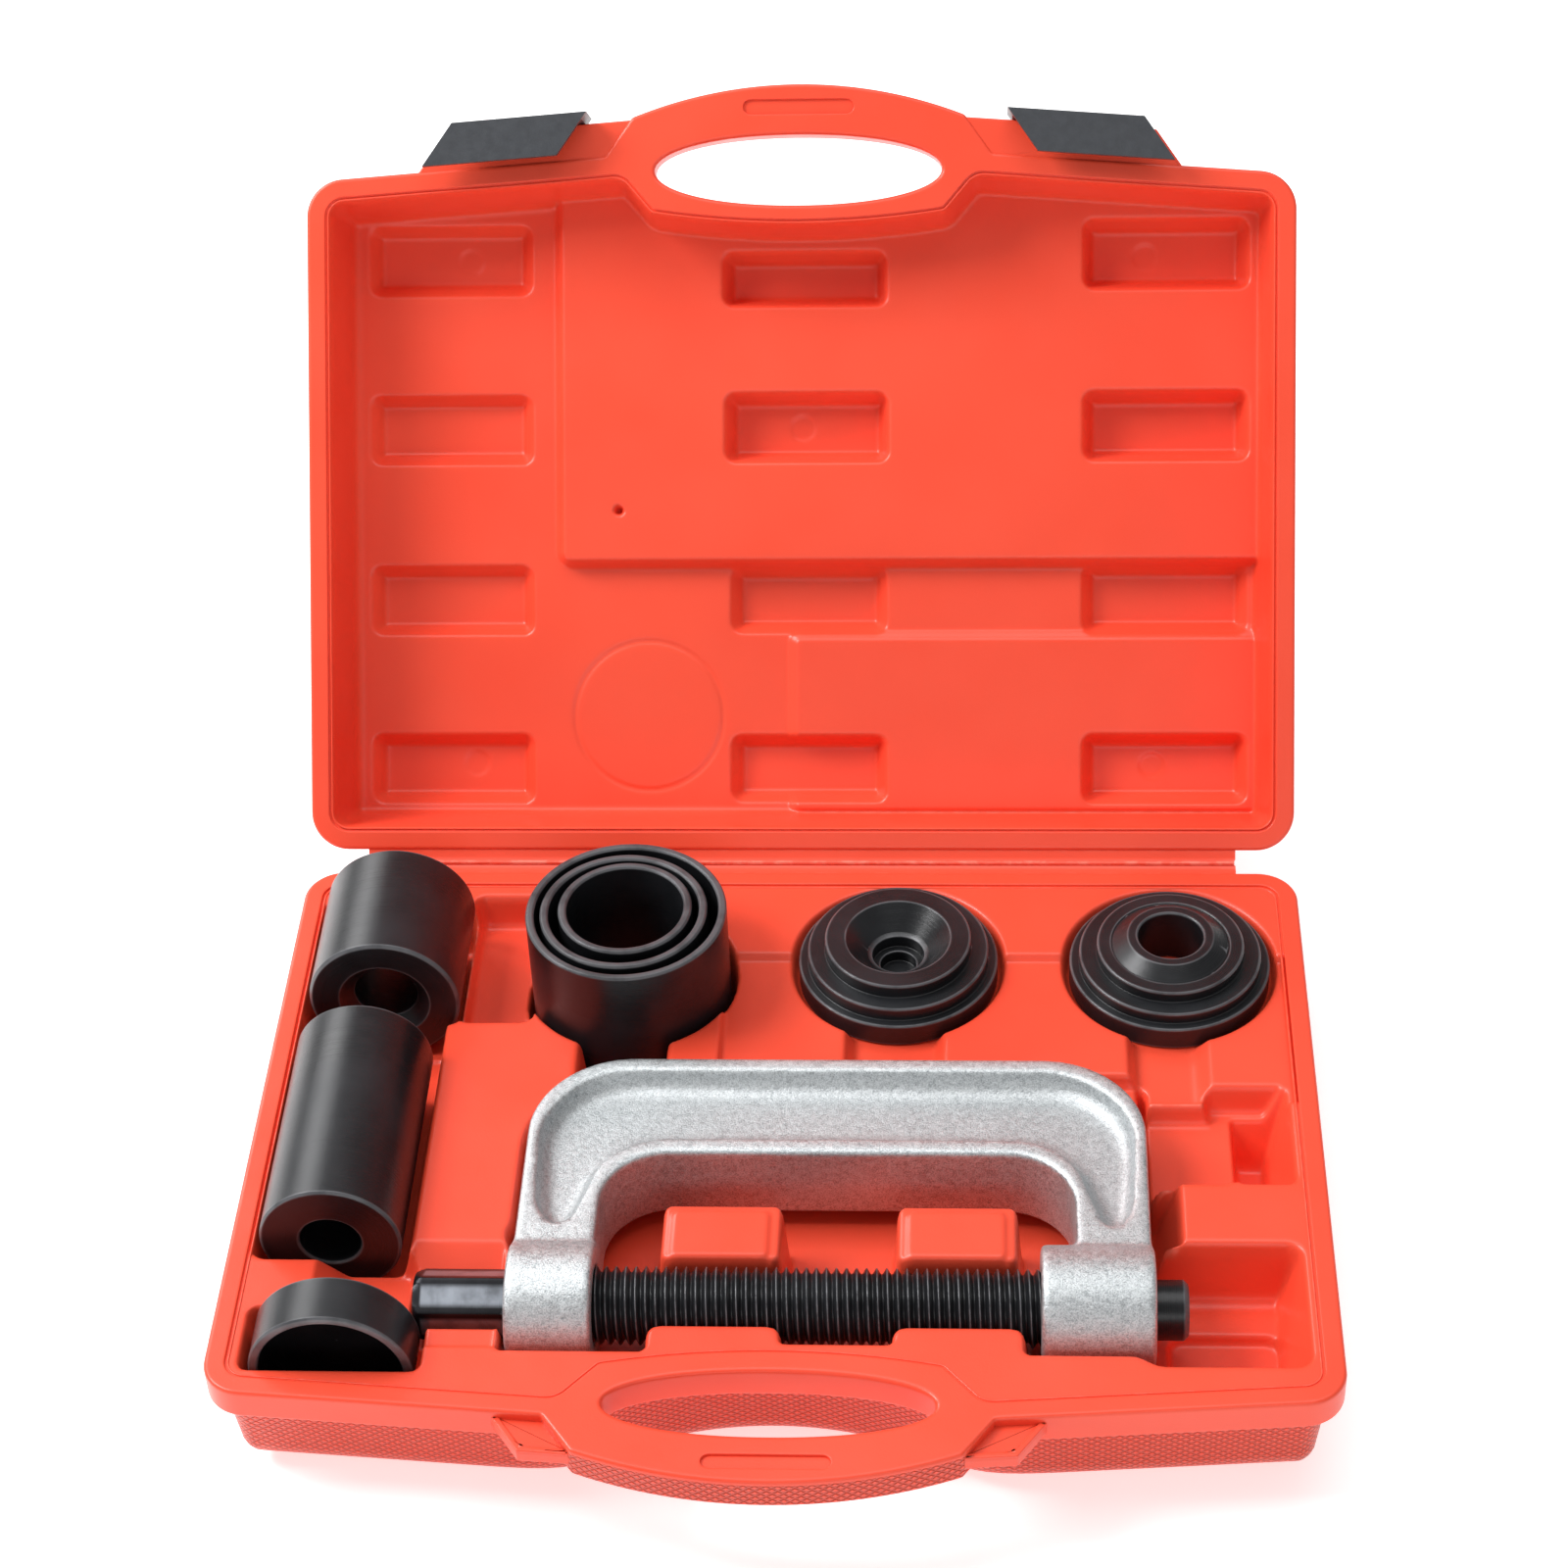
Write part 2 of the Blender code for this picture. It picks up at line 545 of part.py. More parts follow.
def c_frame(mat):
    z0, z1 = SCREW_Z - FRAME_HALF, SCREW_Z + FRAME_HALF
    corner, throat_corner, square = 37 * MM, 24 * MM, 2 * MM
    outer = rounded_rectangle(FRAME_LEFT, FRAME_RIGHT, SCREW_Y, FRAME_BACK,
                              (square, square, corner, corner))
    frame = prism("c_frame", outer, z0, z1, mat)
    throat = rounded_rectangle(THROAT_LEFT, THROAT_RIGHT, SCREW_Y - 60 * MM, THROAT_BACK,
                               (square, square, throat_corner, throat_corner))
    cut(frame, prism("throat_guide", throat, 0, 0.2))
    # The web's recess on either face, between the outer and the inner flange.
    recess_outer = rounded_rectangle(FRAME_LEFT + FLANGE, FRAME_RIGHT - FLANGE, -64 * MM,
                                     FRAME_BACK - FLANGE,
                                     (4 * MM, 4 * MM, corner - FLANGE, corner - FLANGE))
    recess_inner = rounded_rectangle(THROAT_LEFT - FLANGE, THROAT_RIGHT + FLANGE, SCREW_Y - 60 * MM,
                                     THROAT_BACK + FLANGE, (square, square, throat_corner + FLANGE,
                                                            throat_corner + FLANGE))
    for name, low, high in (("top", SCREW_Z + WEB_HALF, z1 + 5 * MM),
                            ("bottom", z0 - 5 * MM, SCREW_Z - WEB_HALF)):
        recess = prism("recess_" + name + "_guide", recess_outer, low, high)
        cut(recess, prism("recess_core_" + name + "_guide", recess_inner, low - 1 * MM, high + 1 * MM))
        cut(frame, recess)
    join(frame, rod("left_boss_guide", BOSS_RADIUS, FRAME_LEFT - 0.3 * MM, THROAT_LEFT + 0.6 * MM,
                    SCREW_Y, SCREW_Z, 40),
         rod("right_boss_guide", BOSS_RADIUS, RIGHT_BOSS_LEFT, FRAME_RIGHT + 0.3 * MM,
             SCREW_Y, SCREW_Z, 40))
    cut(frame, rod("bore_guide", THREAD_RADIUS + THREAD_CLEAR, -0.2, 0.2, SCREW_Y, SCREW_Z, 32))
    smooth_round(frame)
    return frame


def forcing_screw(mat):
    """Hex, threaded length and a stepped socket for the tip's stub and its snap ring."""
    hexagon = arc(0, 0, HEX_FLATS / math.sqrt(3), HEX_TURN, HEX_TURN + 300, 5)
    chamfered = [(x * 0.93, y * 0.93) for x, y in hexagon]
    screw = stack("forcing_screw", [
        [(HEX_LEFT, a, b) for a, b in chamfered],
        [(HEX_LEFT + 1.4 * MM, a, b) for a, b in hexagon],
        [(THREAD_LEFT + 1 * MM, a, b) for a, b in hexagon]], mat)
    thread = rod("thread_guide", THREAD_RADIUS, THREAD_LEFT, THREAD_RIGHT, 0, 0, 32)
    thread.parent = screw
    join(screw, thread)
    clear = 0.35 * MM
    socket = rod("socket_guide", STUB_RADIUS + clear, THREAD_RIGHT - STUB_LENGTH - clear,
                 THREAD_RIGHT + 5 * MM, 0, 0, 20)
    groove = rod("socket_groove_guide", STUB_RADIUS + 2.4 * MM, THREAD_RIGHT - RING_GROOVE[1] - clear,
                 THREAD_RIGHT - RING_GROOVE[0] + clear, 0, 0, 20)
    socket.parent = groove.parent = screw
    cut(screw, socket, groove)
    screw.location = (0, SCREW_Y, SCREW_Z)
    return screw


def thrust_tip(mat):
    """The nose that bears on the work: it stays still while the screw turns on its stub."""
    groove = STUB_RADIUS - 1.4 * MM
    g0, g1 = RING_GROOVE
    start = THREAD_RIGHT + GAP
    bore = 1.6 * MM
    profile = [(bore, -STUB_LENGTH), (STUB_RADIUS, -STUB_LENGTH), (STUB_RADIUS, -g1), (groove, -g1),
               (groove, -g0), (STUB_RADIUS, -g0), (STUB_RADIUS, 0), (TIP_RADIUS, 0)]
    length = TIP_RIGHT - start
    profile += [(TIP_RADIUS, length - 1.2 * MM), (TIP_RADIUS - 1.2 * MM, length),
                (bore + 1.6 * MM, length), (bore, length - 1.6 * MM)]
    return turned("thrust_tip", profile, mat, 32, "X", (start, SCREW_Y, SCREW_Z))


def snap_ring(mat):
    """An open round-wire ring that sits half in the stub's groove and half in the socket's."""
    wire, radius, sides = 0.7 * MM, 5.3 * MM, 6
    middle = THREAD_RIGHT + GAP - sum(RING_GROOVE) / 2
    bm = bmesh.new()
    section = [bm.verts.new((x, y, 0)) for x, y in circle(0, radius, wire, sides)]
    bm.faces.new(section)
    bmesh.ops.spin(bm, geom=bm.faces[:], cent=(0, 0, 0), axis=(1, 0, 0),
                   angle=math.radians(320), steps=16)
    ring = finish_mesh("tip_snap_ring", bm, mat)
    ring.location = (middle, SCREW_Y, SCREW_Z)
    return ring


# ---- loose adapters ----------------------------------------------------------------------

def tube_profile(outer, inner, length, chamfer=0.7 * MM):
    return [(inner, 0), (outer, 0), (outer, length - chamfer), (outer - chamfer, length),
            (inner + chamfer, length), (inner, length - chamfer)]


def receiving_tubes(mat):
    for name, outer, inner, (dx, dy) in TUBES:
        turned(name, tube_profile(outer / 2, inner / 2, TUBE_LENGTH), mat,
               at=(TUBE_X + dx, TUBE_Y + dy, TUBE_FLOOR + GAP))


def disc_steps(step):
    """The outside of a stepped disc, from its foot to the third step's top."""
    flange, second, third = DISC_RADII
    c = 0.5 * MM
    h = DISC_FLANGE
    return [(flange - c, 0), (flange, c), (flange, h - c), (flange - c, h), (second, h),
            (second, h + step - c), (second - c, h + step), (third, h + step),
            (third, h + 2 * step - c), (third - c, h + 2 * step)], h + 2 * step


def concave_disc(mat):
    steps, top = disc_steps(5.5 * MM)
    hole, counterbore, cone, cone_foot = 6.9 * MM, 9.9 * MM, 20.1 * MM, 11.7 * MM
    inside = [(cone, top), (cone_foot, top - 8.4 * MM), (counterbore, top - 9.2 * MM),
              (counterbore, top - 14.2 * MM), (hole, top - 14.2 * MM), (hole, 1.6 * MM)]
    turned_blind("adapter_disc_concave", steps + inside, mat,
                 at=(*CONCAVE_XY, DISC_FLOOR + GAP))


def conical_disc(mat):
    steps, top = disc_steps(4.6 * MM)
    bore, nose = 12.4 * MM, 3.9 * MM
    inside = [(21.7 * MM, top), (16.3 * MM, top + nose), (bore, top + nose), (bore, 0)]
    turned("adapter_disc_conical", steps + inside, mat, at=(*CONICAL_XY, DISC_FLOOR + GAP))


def large_sleeve(mat):
    length = LARGE_SLEEVE_Y[1] - LARGE_SLEEVE_Y[0]
    r, c, bore, cone = LARGE_SLEEVE_RADIUS, 1 * MM, 12 * MM, 17.3 * MM
    profile = [(bore, 0), (r - c, 0), (r, c), (r, length - c), (r - c, length),
               (cone, length), (bore, length - 5.3 * MM)]
    turned("ball_joint_sleeve_large", profile, mat, axis="-Y",
           at=(LARGE_SLEEVE_X, LARGE_SLEEVE_Y[1], SLEEVE_FLOOR + GAP + r))


def long_sleeve(mat):
    length = LONG_SLEEVE_Y[1] - LONG_SLEEVE_Y[0]
    r, c, bore, relief = LONG_SLEEVE_RADIUS, 0.8 * MM, 11 * MM, 19 * MM
    profile = [(relief, 0), (r - c, 0), (r, c), (r, length - c), (r - c, length),
               (bore, length), (bore, 22 * MM), (relief, 22 * MM)]
    turned("installing_sleeve_long", profile, mat, axis="-Y",
           at=(LONG_SLEEVE_X, LONG_SLEEVE_Y[1], SLEEVE_FLOOR + GAP + r))


def short_cup(mat):
    length = CUP_Y[1] - CUP_Y[0]
    r, c, inner = CUP_RADIUS, 0.6 * MM, 25.2 * MM
    profile = [(r - c, 0), (r, c), (r, length - c), (r - c, length), (inner, length),
               (inner, 4 * MM)]
    turned_blind("receiving_cup_short", profile, mat, axis="-Y",
                 at=(CUP_X, CUP_Y[1], RING_FLOOR + GAP + r))


def main():
    clear_scene()
    plastic = material("case_plastic", (0.86, 0.10, 0.05), 0.45)
    tray_plastic = material("tray_plastic", (0.88, 0.12, 0.06), 0.45)
    black_plastic = material("latch_plastic", (0.02, 0.02, 0.022), 0.4)
    cast = material("cast_iron_silver", (0.78, 0.78, 0.80), 0.42, 0.8)
    steel = material("black_oxide_steel", (0.035, 0.035, 0.04), 0.38, 0.6)
    spring = material("spring_steel", (0.25, 0.25, 0.27), 0.3, 1.0)

    hinge = bpy.data.objects.new("lid_hinge_axis", None)
    bpy.context.scene.collection.objects.link(hinge)
    hinge.location = (0, HINGE_Y, BASE_DEPTH + RIM_GAP)
    hinge.rotation_euler = (-LID_OPEN, 0, 0)

    base_outer_shell(plastic)
    base_tray(tray_plastic)
    lid_outer_shell(plastic, hinge)
    lid_inner_panel(tray_plastic, hinge)
    hinge_strip(plastic)
    latch(-1, "latch_left", black_plastic, hinge)
    latch(1, "latch_right", black_plastic, hinge)
    c_frame(cast)
    forcing_screw(steel)
    thrust_tip(steel)
    snap_ring(spring)
    receiving_tubes(steel)
    concave_disc(steel)
    conical_disc(steel)
    large_sleeve(steel)
    long_sleeve(steel)
    short_cup(steel)


main()
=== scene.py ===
import math

import bmesh
import bpy
import numpy as np
from mathutils import Matrix, Vector
from mathutils.geometry import tessellate_polygon


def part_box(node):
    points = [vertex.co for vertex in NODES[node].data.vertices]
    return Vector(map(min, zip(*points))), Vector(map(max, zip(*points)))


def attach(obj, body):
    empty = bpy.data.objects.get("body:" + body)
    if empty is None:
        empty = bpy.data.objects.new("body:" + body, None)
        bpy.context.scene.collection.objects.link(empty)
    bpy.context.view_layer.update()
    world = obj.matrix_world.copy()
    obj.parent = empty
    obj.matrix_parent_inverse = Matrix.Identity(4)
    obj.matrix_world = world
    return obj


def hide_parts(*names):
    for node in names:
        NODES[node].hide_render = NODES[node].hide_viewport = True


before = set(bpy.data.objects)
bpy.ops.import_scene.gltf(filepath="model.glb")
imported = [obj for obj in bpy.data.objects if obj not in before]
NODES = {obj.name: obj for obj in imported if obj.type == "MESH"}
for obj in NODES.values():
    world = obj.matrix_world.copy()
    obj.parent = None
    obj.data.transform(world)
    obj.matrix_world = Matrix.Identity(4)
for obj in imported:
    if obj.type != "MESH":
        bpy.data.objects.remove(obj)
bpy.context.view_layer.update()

MM = 0.001

# ---- the case's driving sizes, in millimetres ----
RIM_Z = 50.0               # rim plane of the base; the lid's lies 0.6 above it when shut
HINGE = (0.0, 134.0, 50.3)
LID_OPEN = math.radians(-127.9)
HALF, BACK, CORNER = 195.0, 129.0, 15.0
FRONT_Y, FRONT_X, SLOPE = -137.0, 181.0, 0.075   # the front's ends slope back a little
BAY_R, BAY_Y = 119.0, -243.0                     # the hollow in the wall behind the handle
BAND = 12.5                # height of the smooth band under the rim
WALL_TOP, WALL_FOOT, FOOT_R = 5.5, 8.0, 15.0
TRAY_LINE = 7.3            # width of the rim
RIM_LEVEL = -1.0           # the tray's highest level
PANEL_LEVEL = -33.7        # the lid panel's floor
RELIEF_STEP = 0.8
HANDLE_ROOT, HANDLE_HALF, HANDLE_SIDE, HANDLE_FRONT = 76.4, 65.5, -160.0, -172.5
HOLE_X, HOLE_Y, HOLE_MID = 56.5, 13.8, -139.0
BASE_DEPTH, LID_DEPTH = 50.0, 48.0


# ---- plane geometry ----

def arc(cx, cy, r, a0, a1, n):
    """Points of an arc between two angles in degrees."""
    t = np.radians(np.linspace(a0, a1, n + 1))
    return [(cx + r * math.cos(a), cy + r * math.sin(a)) for a in t]


def round_angles(count):
    """Angles of count even steps round a circle."""
    return np.linspace(0, 2 * math.pi, count + 1)[:-1]


def front_edge(x, inset=0.0):
    """Y of the case's front at x."""
    return FRONT_Y + SLOPE * (abs(x) - FRONT_X) + inset * math.hypot(1, SLOPE)


def dense(points, step):
    """The closed polygon with its long sides split."""
    out = []
    for i, p in enumerate(points):
        q = points[(i + 1) % len(points)]
        n = max(1, int(math.hypot(q[0] - p[0], q[1] - p[1]) / step))
        out += [(p[0] + (q[0] - p[0]) * k / n, p[1] + (q[1] - p[1]) * k / n) for k in range(n)]
    return out


def fillet(points, steps=6):
    """A polygon of (x, y, radius) with each corner rounded to its radius."""
    out = []
    n = len(points)
    for i in range(n):
        x, y, r = points[i]
        if r <= 0:
            out.append((x, y))
            continue
        p = Vector(points[i - 1][:2]) - Vector((x, y))
        q = Vector(points[(i + 1) % n][:2]) - Vector((x, y))
        half = p.angle(q) / 2
        if half > math.radians(89.5):
            out.append((x, y))
            continue
        reach = min(r / math.tan(half), 0.49 * p.length, 0.49 * q.length)
        r = reach * math.tan(half)
        a, b = p.normalized(), q.normalized()
        centre = Vector((x, y)) + (a + b).normalized() * (r / math.sin(half))
        start = Vector((x, y)) + a * reach - centre
        end = Vector((x, y)) + b * reach - centre
        a0 = math.atan2(start.y, start.x)
        turn = math.atan2(start.x * end.y - start.y * end.x, start.dot(end))
        for k in range(steps + 1):
            t = a0 + turn * k / steps
            out.append((centre.x + r * math.cos(t), centre.y + r * math.sin(t)))
    return out


def offset(loop, distance):
    """The loop moved to its left by distance; a counter-clockwise one shrinks."""
    p = np.array(loop)
    e = np.roll(p, -1, 0) - p
    e /= np.maximum(np.linalg.norm(e, axis=1, keepdims=True), 1e-9)
    normal = np.stack([-e[:, 1], e[:, 0]], 1)
    mean = normal + np.roll(normal, 1, 0)
    mean /= np.maximum(np.linalg.norm(mean, axis=1, keepdims=True), 1e-9)
    stretch = np.clip((mean * normal).sum(1, keepdims=True), 0.6, 1.0)
    return p + mean * distance / stretch


def case_outline(inset, corner_steps=12, bay_steps=40):
    """The wall's plan, counter-clockwise, with the bay behind the handle."""
    half, back = HALF - inset, BACK - inset
    r = max(CORNER - inset, 4.0)
    slope = math.degrees(math.atan(SLOPE))
    cx = half - r
    cy = front_edge(cx, inset) + r * math.hypot(1, SLOPE)
    radius = BAY_R + inset
    a = 1 + SLOPE ** 2
    b = front_edge(0, inset) - BAY_Y
    meet = (-SLOPE * b + math.sqrt((SLOPE * b) ** 2 - a * (b * b - radius * radius))) / a
    swing = math.degrees(math.asin(meet / radius))
    curves = [arc(cx, back - r, r, 0, 90, corner_steps),
              arc(-cx, back - r, r, 90, 180, corner_steps),
              arc(-cx, cy, r, 180, 270 - slope, corner_steps),
              arc(0, BAY_Y, radius, 90 + swing, 90 - swing, bay_steps),
              arc(cx, cy, r, 270 + slope, 360, corner_steps)]
    n = 16                      # steps of each straight side
    out = []
    for curve, following in zip(curves, curves[1:] + curves[:1]):
        out += curve
        (x0, y0), (x1, y1) = curve[-1], following[0]
        out += [(x0 + (x1 - x0) * k / n, y0 + (y1 - y0) * k / n) for k in range(1, n)]
    # Soften the two corners where the bay meets the front.
    p = np.array(out)
    first = 3 * (corner_steps + 1) + 3 * (n - 1)
    for corner in (first, first + bay_steps):
        idx = np.arange(corner - 6, corner + 7) % len(p)
        for _ in range(8):
            p[idx[1:-1]] = 0.5 * p[idx[1:-1]] + 0.25 * (p[idx[:-2]] + p[idx[2:]])
    return p


def plate_outline(steps=14):
    """Plan of rim and handle together, counter-clockwise."""
    slope = math.degrees(math.atan(SLOPE))
    cx = HALF - CORNER
    cy = front_edge(cx) + CORNER * math.hypot(1, SLOPE)
    rise = HANDLE_SIDE - HANDLE_FRONT
    radius = (HANDLE_HALF ** 2 + rise ** 2) / (2 * rise)
    swing = math.degrees(math.asin((HANDLE_HALF - 2) / radius))
    root_y = front_edge(HANDLE_ROOT)
    corners = [(x, y, 0) for x, y in arc(cx, BACK - CORNER, CORNER, 0, 90, steps)
               + arc(-cx, BACK - CORNER, CORNER, 90, 180, steps)
               + arc(-cx, cy, CORNER, 180, 270 - slope, steps)]
    corners += [(-HANDLE_ROOT, root_y, 2.0), (-HANDLE_HALF, HANDLE_SIDE, 3.0)]
    corners += [(x, y, 0) for x, y in arc(0, HANDLE_FRONT + radius, radius, 270 - swing,
                                          270 + swing, 40)]
    corners += [(HANDLE_HALF, HANDLE_SIDE, 3.0), (HANDLE_ROOT, root_y, 2.0)]
    corners += [(x, y, 0) for x, y in arc(cx, cy, CORNER, 270 + slope, 360, steps)]
    return dense(fillet(corners), 6.0)


def tray_line(x_side, x_bulge, y_bulge, y_mid):
    """Inner edge of the rim; it swings back round the finger hole."""
    inset = TRAY_LINE
    half, back = HALF - inset, BACK - inset
    r = CORNER - inset
    rise = y_mid - y_bulge
    radius = (x_bulge ** 2 + rise ** 2) / (2 * rise)
    swing = math.degrees(math.asin((x_bulge - 2) / radius))
    points = [(half, back, r), (-half, back, r),
              (-half, front_edge(half, inset), r),
              (-x_side, front_edge(x_side, inset), 9.0), (-x_bulge, y_bulge, 9.0)]
    points += [(x, y, 0) for x, y in arc(0, y_mid - radius, radius, 90 + swing, 90 - swing, 24)]
    points += [(x_bulge, y_bulge, 9.0), (x_side, front_edge(x_side, inset), 9.0),
               (half, front_edge(half, inset), r)]
    return dense(fillet(points, 10), 5.0)


# Where the line leaves the front edge, where its bulge starts, and how far back it swings.
BASE_LINE = (72.0, 58.5, -122.3, -116.4)
LID_LINE = (69.0, 57.0, -124.0, -119.6)


def hole_line():
    """The finger hole's outline, a slightly boxy ellipse."""
    return [(HOLE_X * math.copysign(abs(math.cos(a)) ** 0.94, math.cos(a)),
             HOLE_MID + HOLE_Y * math.copysign(abs(math.sin(a)) ** 0.98, math.sin(a)))
            for a in round_angles(96)]


# ---- placing the two halves ----

def place_base(p):
    """(x, y, depth under the rim plane) to the row frame."""
    p = np.asarray(p, float)
    return np.stack([p[:, 0], p[:, 1], RIM_Z - p[:, 2]], 1)


def place_lid(p):
    """The same for the lid, drawn shut and then turned open about the hinge."""
    p = np.asarray(p, float)
    c, s = math.cos(LID_OPEN), math.sin(LID_OPEN)
    y, z = p[:, 1] - HINGE[1], p[:, 2] + 0.3
    return np.stack([p[:, 0], HINGE[1] + y * c - z * s, HINGE[2] + y * s + z * c], 1)


# ---- mesh building ----

def add_object(name, data):
    obj = bpy.data.objects.new(name, data)
    bpy.context.scene.collection.objects.link(obj)
    return obj


def set_values(mesh, key, values):
    layer = mesh.attributes.new(key, "FLOAT", "POINT")
    layer.data.foreach_set("value", np.asarray(values, np.float32))


def read(items, key, width, kind=float):
    """One property of mesh items as an array with width columns."""
    out = np.empty(len(items) * width, kind)
    items.foreach_get(key, out)
    return out.reshape(-1, width)


def edit(mesh, change):
    """Runs change on the mesh as a BMesh."""
    bm = bmesh.new()
    bm.from_mesh(mesh)
    change(bm)
    bm.to_mesh(mesh)
    bm.free()


def make(name, verts, faces, body, mat, replaces=(), values=None, uvs=None,
         outward=False, weld=False):
    """A mesh object from millimetre points; values are its attributes by name."""
    mesh = bpy.data.meshes.new(name)
    verts = np.asarray(verts, float) * MM
    mesh.from_pydata(verts.tolist(), [], [tuple(int(i) for i in f) for f in faces])
    mesh.validate()
    if outward:
        edit(mesh, lambda bm: bmesh.ops.recalc_face_normals(bm, faces=bm.faces))
    for key, per_vertex in (values or {}).items():
        set_values(mesh, key, per_vertex)
    if uvs is not None:
        layer = mesh.uv_layers.new(name="wall")
        corner = read(mesh.loops, "vertex_index", 1, np.int32)[:, 0]
        layer.data.foreach_set("uv", np.asarray(uvs, np.float32)[corner].ravel())
    if weld:
        edit(mesh, lambda bm: bmesh.ops.remove_doubles(bm, verts=bm.verts, dist=1e-7))
    mesh.shade_smooth()
    mesh.materials.append(mat)
    obj = add_object(name, mesh)
    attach(obj, body)
    if replaces:
        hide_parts(*replaces)
    return obj


def ring_faces(count, rings, closed_last=False):
    """Quads between rings of count points each."""
    faces = []
    for a in range(rings if closed_last else rings - 1):
        b = (a + 1) % rings
        for i in range(count):
            j = (i + 1) % count
            faces.append((a * count + i, a * count + j, b * count + j, b * count + i))
    return faces


def end_faces(count, rings):
    """The first and the last ring as polygons."""
    return [tuple(range(count)), tuple(range(count * (rings - 1), count * rings))]


def arc_length(loop):
    """The way round the loop to each of its points."""
    p = np.asarray(loop)
    step = np.linalg.norm(np.roll(p, -1, 0) - p, axis=1)
    return np.concatenate([[0], np.cumsum(step)[:-1]])


def edge_levels(thick, r_top, r_low, steps=4):
    """(inset, depth) down a rounded edge of a plate."""
    t = np.radians(np.linspace(0, 90, steps + 1))
    top = [(r_top + 0.5, 0.0)]
    top += [(r_top * (1 - math.sin(a)), r_top * (1 - math.cos(a))) for a in t]
    low = [(r_low * (1 - math.cos(a)), thick - r_low * (1 - math.sin(a))) for a in t]
    middle = [(0.0, d) for d in (r_top + 0.5, r_top + 1.1, thick - r_low - 0.3)
              if thick > r_top + r_low + 2]
    return top + middle + low + [(r_low + 0.5, thick)]


def cap_triangles(verts, loops):
    return tessellate_polygon([[Vector((*verts[i][:2], 0)) for i in g] for g in loops])


def plate_mesh(loops, thick, radii):
    """A plate with rounded edges: loops[0] outer, the rest holes, all counter-clockwise.

    Also gives each vertex's distance along its loop and the loop's number.
    """
    verts, faces, tops, lows, side, along = [], [], [], [], [], []
    base = 0
    for k, (loop, (r_top, r_low)) in enumerate(zip(loops, radii)):
        levels = edge_levels(thick, r_top, r_low)
        run = arc_length(loop)
        n = len(loop)
        sign = 1 if k == 0 else -1
        for inset, depth in levels:
            ring = offset(loop, sign * inset)
            verts += [(x, y, depth) for x, y in ring]
            along += list(run)
            side += [k] * n
        for f in ring_faces(n, len(levels)):
            f = tuple(base + i for i in f)
            faces.append(f if k == 0 else f[::-1])
        tops.append(range(base, base + n))
        lows.append(range(base + n * (len(levels) - 1), base + n * len(levels)))
        base += n * len(levels)
    for group, flip in ((tops, False), (lows, True)):
        flat = [i for g in group for i in g]
        if len(loops) == 1:
            faces.append(tuple(flat) if flip else tuple(flat[::-1]))
            continue
        for t in cap_triangles(verts, group):
            ids = [flat[i] for i in t]
            a, b, c = (np.array(verts[i][:2]) for i in ids)
            ccw = (b[0] - a[0]) * (c[1] - a[1]) - (b[1] - a[1]) * (c[0] - a[0]) > 0
            want = ccw if flip else not ccw
            faces.append(tuple(ids) if want else tuple(ids[::-1]))
    return np.array(verts), faces, np.array(along), np.array(side)


# ---- materials ----

class Material:
    """A material with short calls for its nodes."""

    def __init__(self, name):
        self.data = bpy.data.materials.new(name)
        self.data.use_nodes = True
        self.tree = self.data.node_tree
        self.shader = self.tree.nodes["Principled BSDF"]

    def put(self, socket, value):
        """Links an output to the socket, or sets the socket's own value."""
        if isinstance(value, bpy.types.NodeSocket):
            self.tree.links.new(value, socket)
        else:
            socket.default_value = value

    def finish(self, **values):
        """Feeds the shader's sockets; an underscore stands for a space."""
        for key, value in values.items():
            self.put(self.shader.inputs[key.replace("_", " ")], value)
        return self.data

    def node(self, kind, inputs=(), **settings):
        n = self.tree.nodes.new("ShaderNode" + kind)
        for key, value in settings.items():
            setattr(n, key, value)
        for key, value in inputs:
            self.put(n.inputs[key], value)
        return n

    def noise(self, scale, detail=2.0, rough=0.5):
        coords = self.node("TexCoord").outputs["Object"]
        return self.node("TexNoise", (("Scale", scale), ("Detail", detail), ("Roughness", rough),
                                      ("Vector", coords))).outputs["Fac"]

    def math(self, op, a, b):
        return self.node("Math", ((0, a), (1, b)), operation=op).outputs[0]

    def times(self, a, b):
        return self.math("MULTIPLY", a, b)

    def ramp(self, value, low, high, out_low=0.0, out_high=1.0):
        return self.node("MapRange", (("Value", value), ("From Min", low), ("From Max", high),
                                      ("To Min", out_low), ("To Max", out_high)),
                         clamp=True, interpolation_type="SMOOTHSTEP").outputs["Result"]

    def mix(self, fac, a, b):
        a, b = ((*v, 1) if isinstance(v, tuple) else v for v in (a, b))
        return self.node("Mix", ((0, fac), (6, a), (7, b)), data_type="RGBA").outputs[2]

    def convex_edges(self):
        return self.ramp(self.node("NewGeometry").outputs["Pointiness"], 0.53, 0.62)

    def attribute(self, name):
        return self.node("Attribute", attribute_name=name).outputs["Fac"]

    def bump(self, height, distance, strength=1.0, normal=None):
        inputs = [("Strength", strength), ("Distance", distance), ("Height", height)]
        if normal is not None:
            inputs.append(("Normal", normal))
        return self.node("Bump", inputs).outputs["Normal"]


KNURL_U, KNURL_V = 3.8, 2.8     # the diamonds' width and height


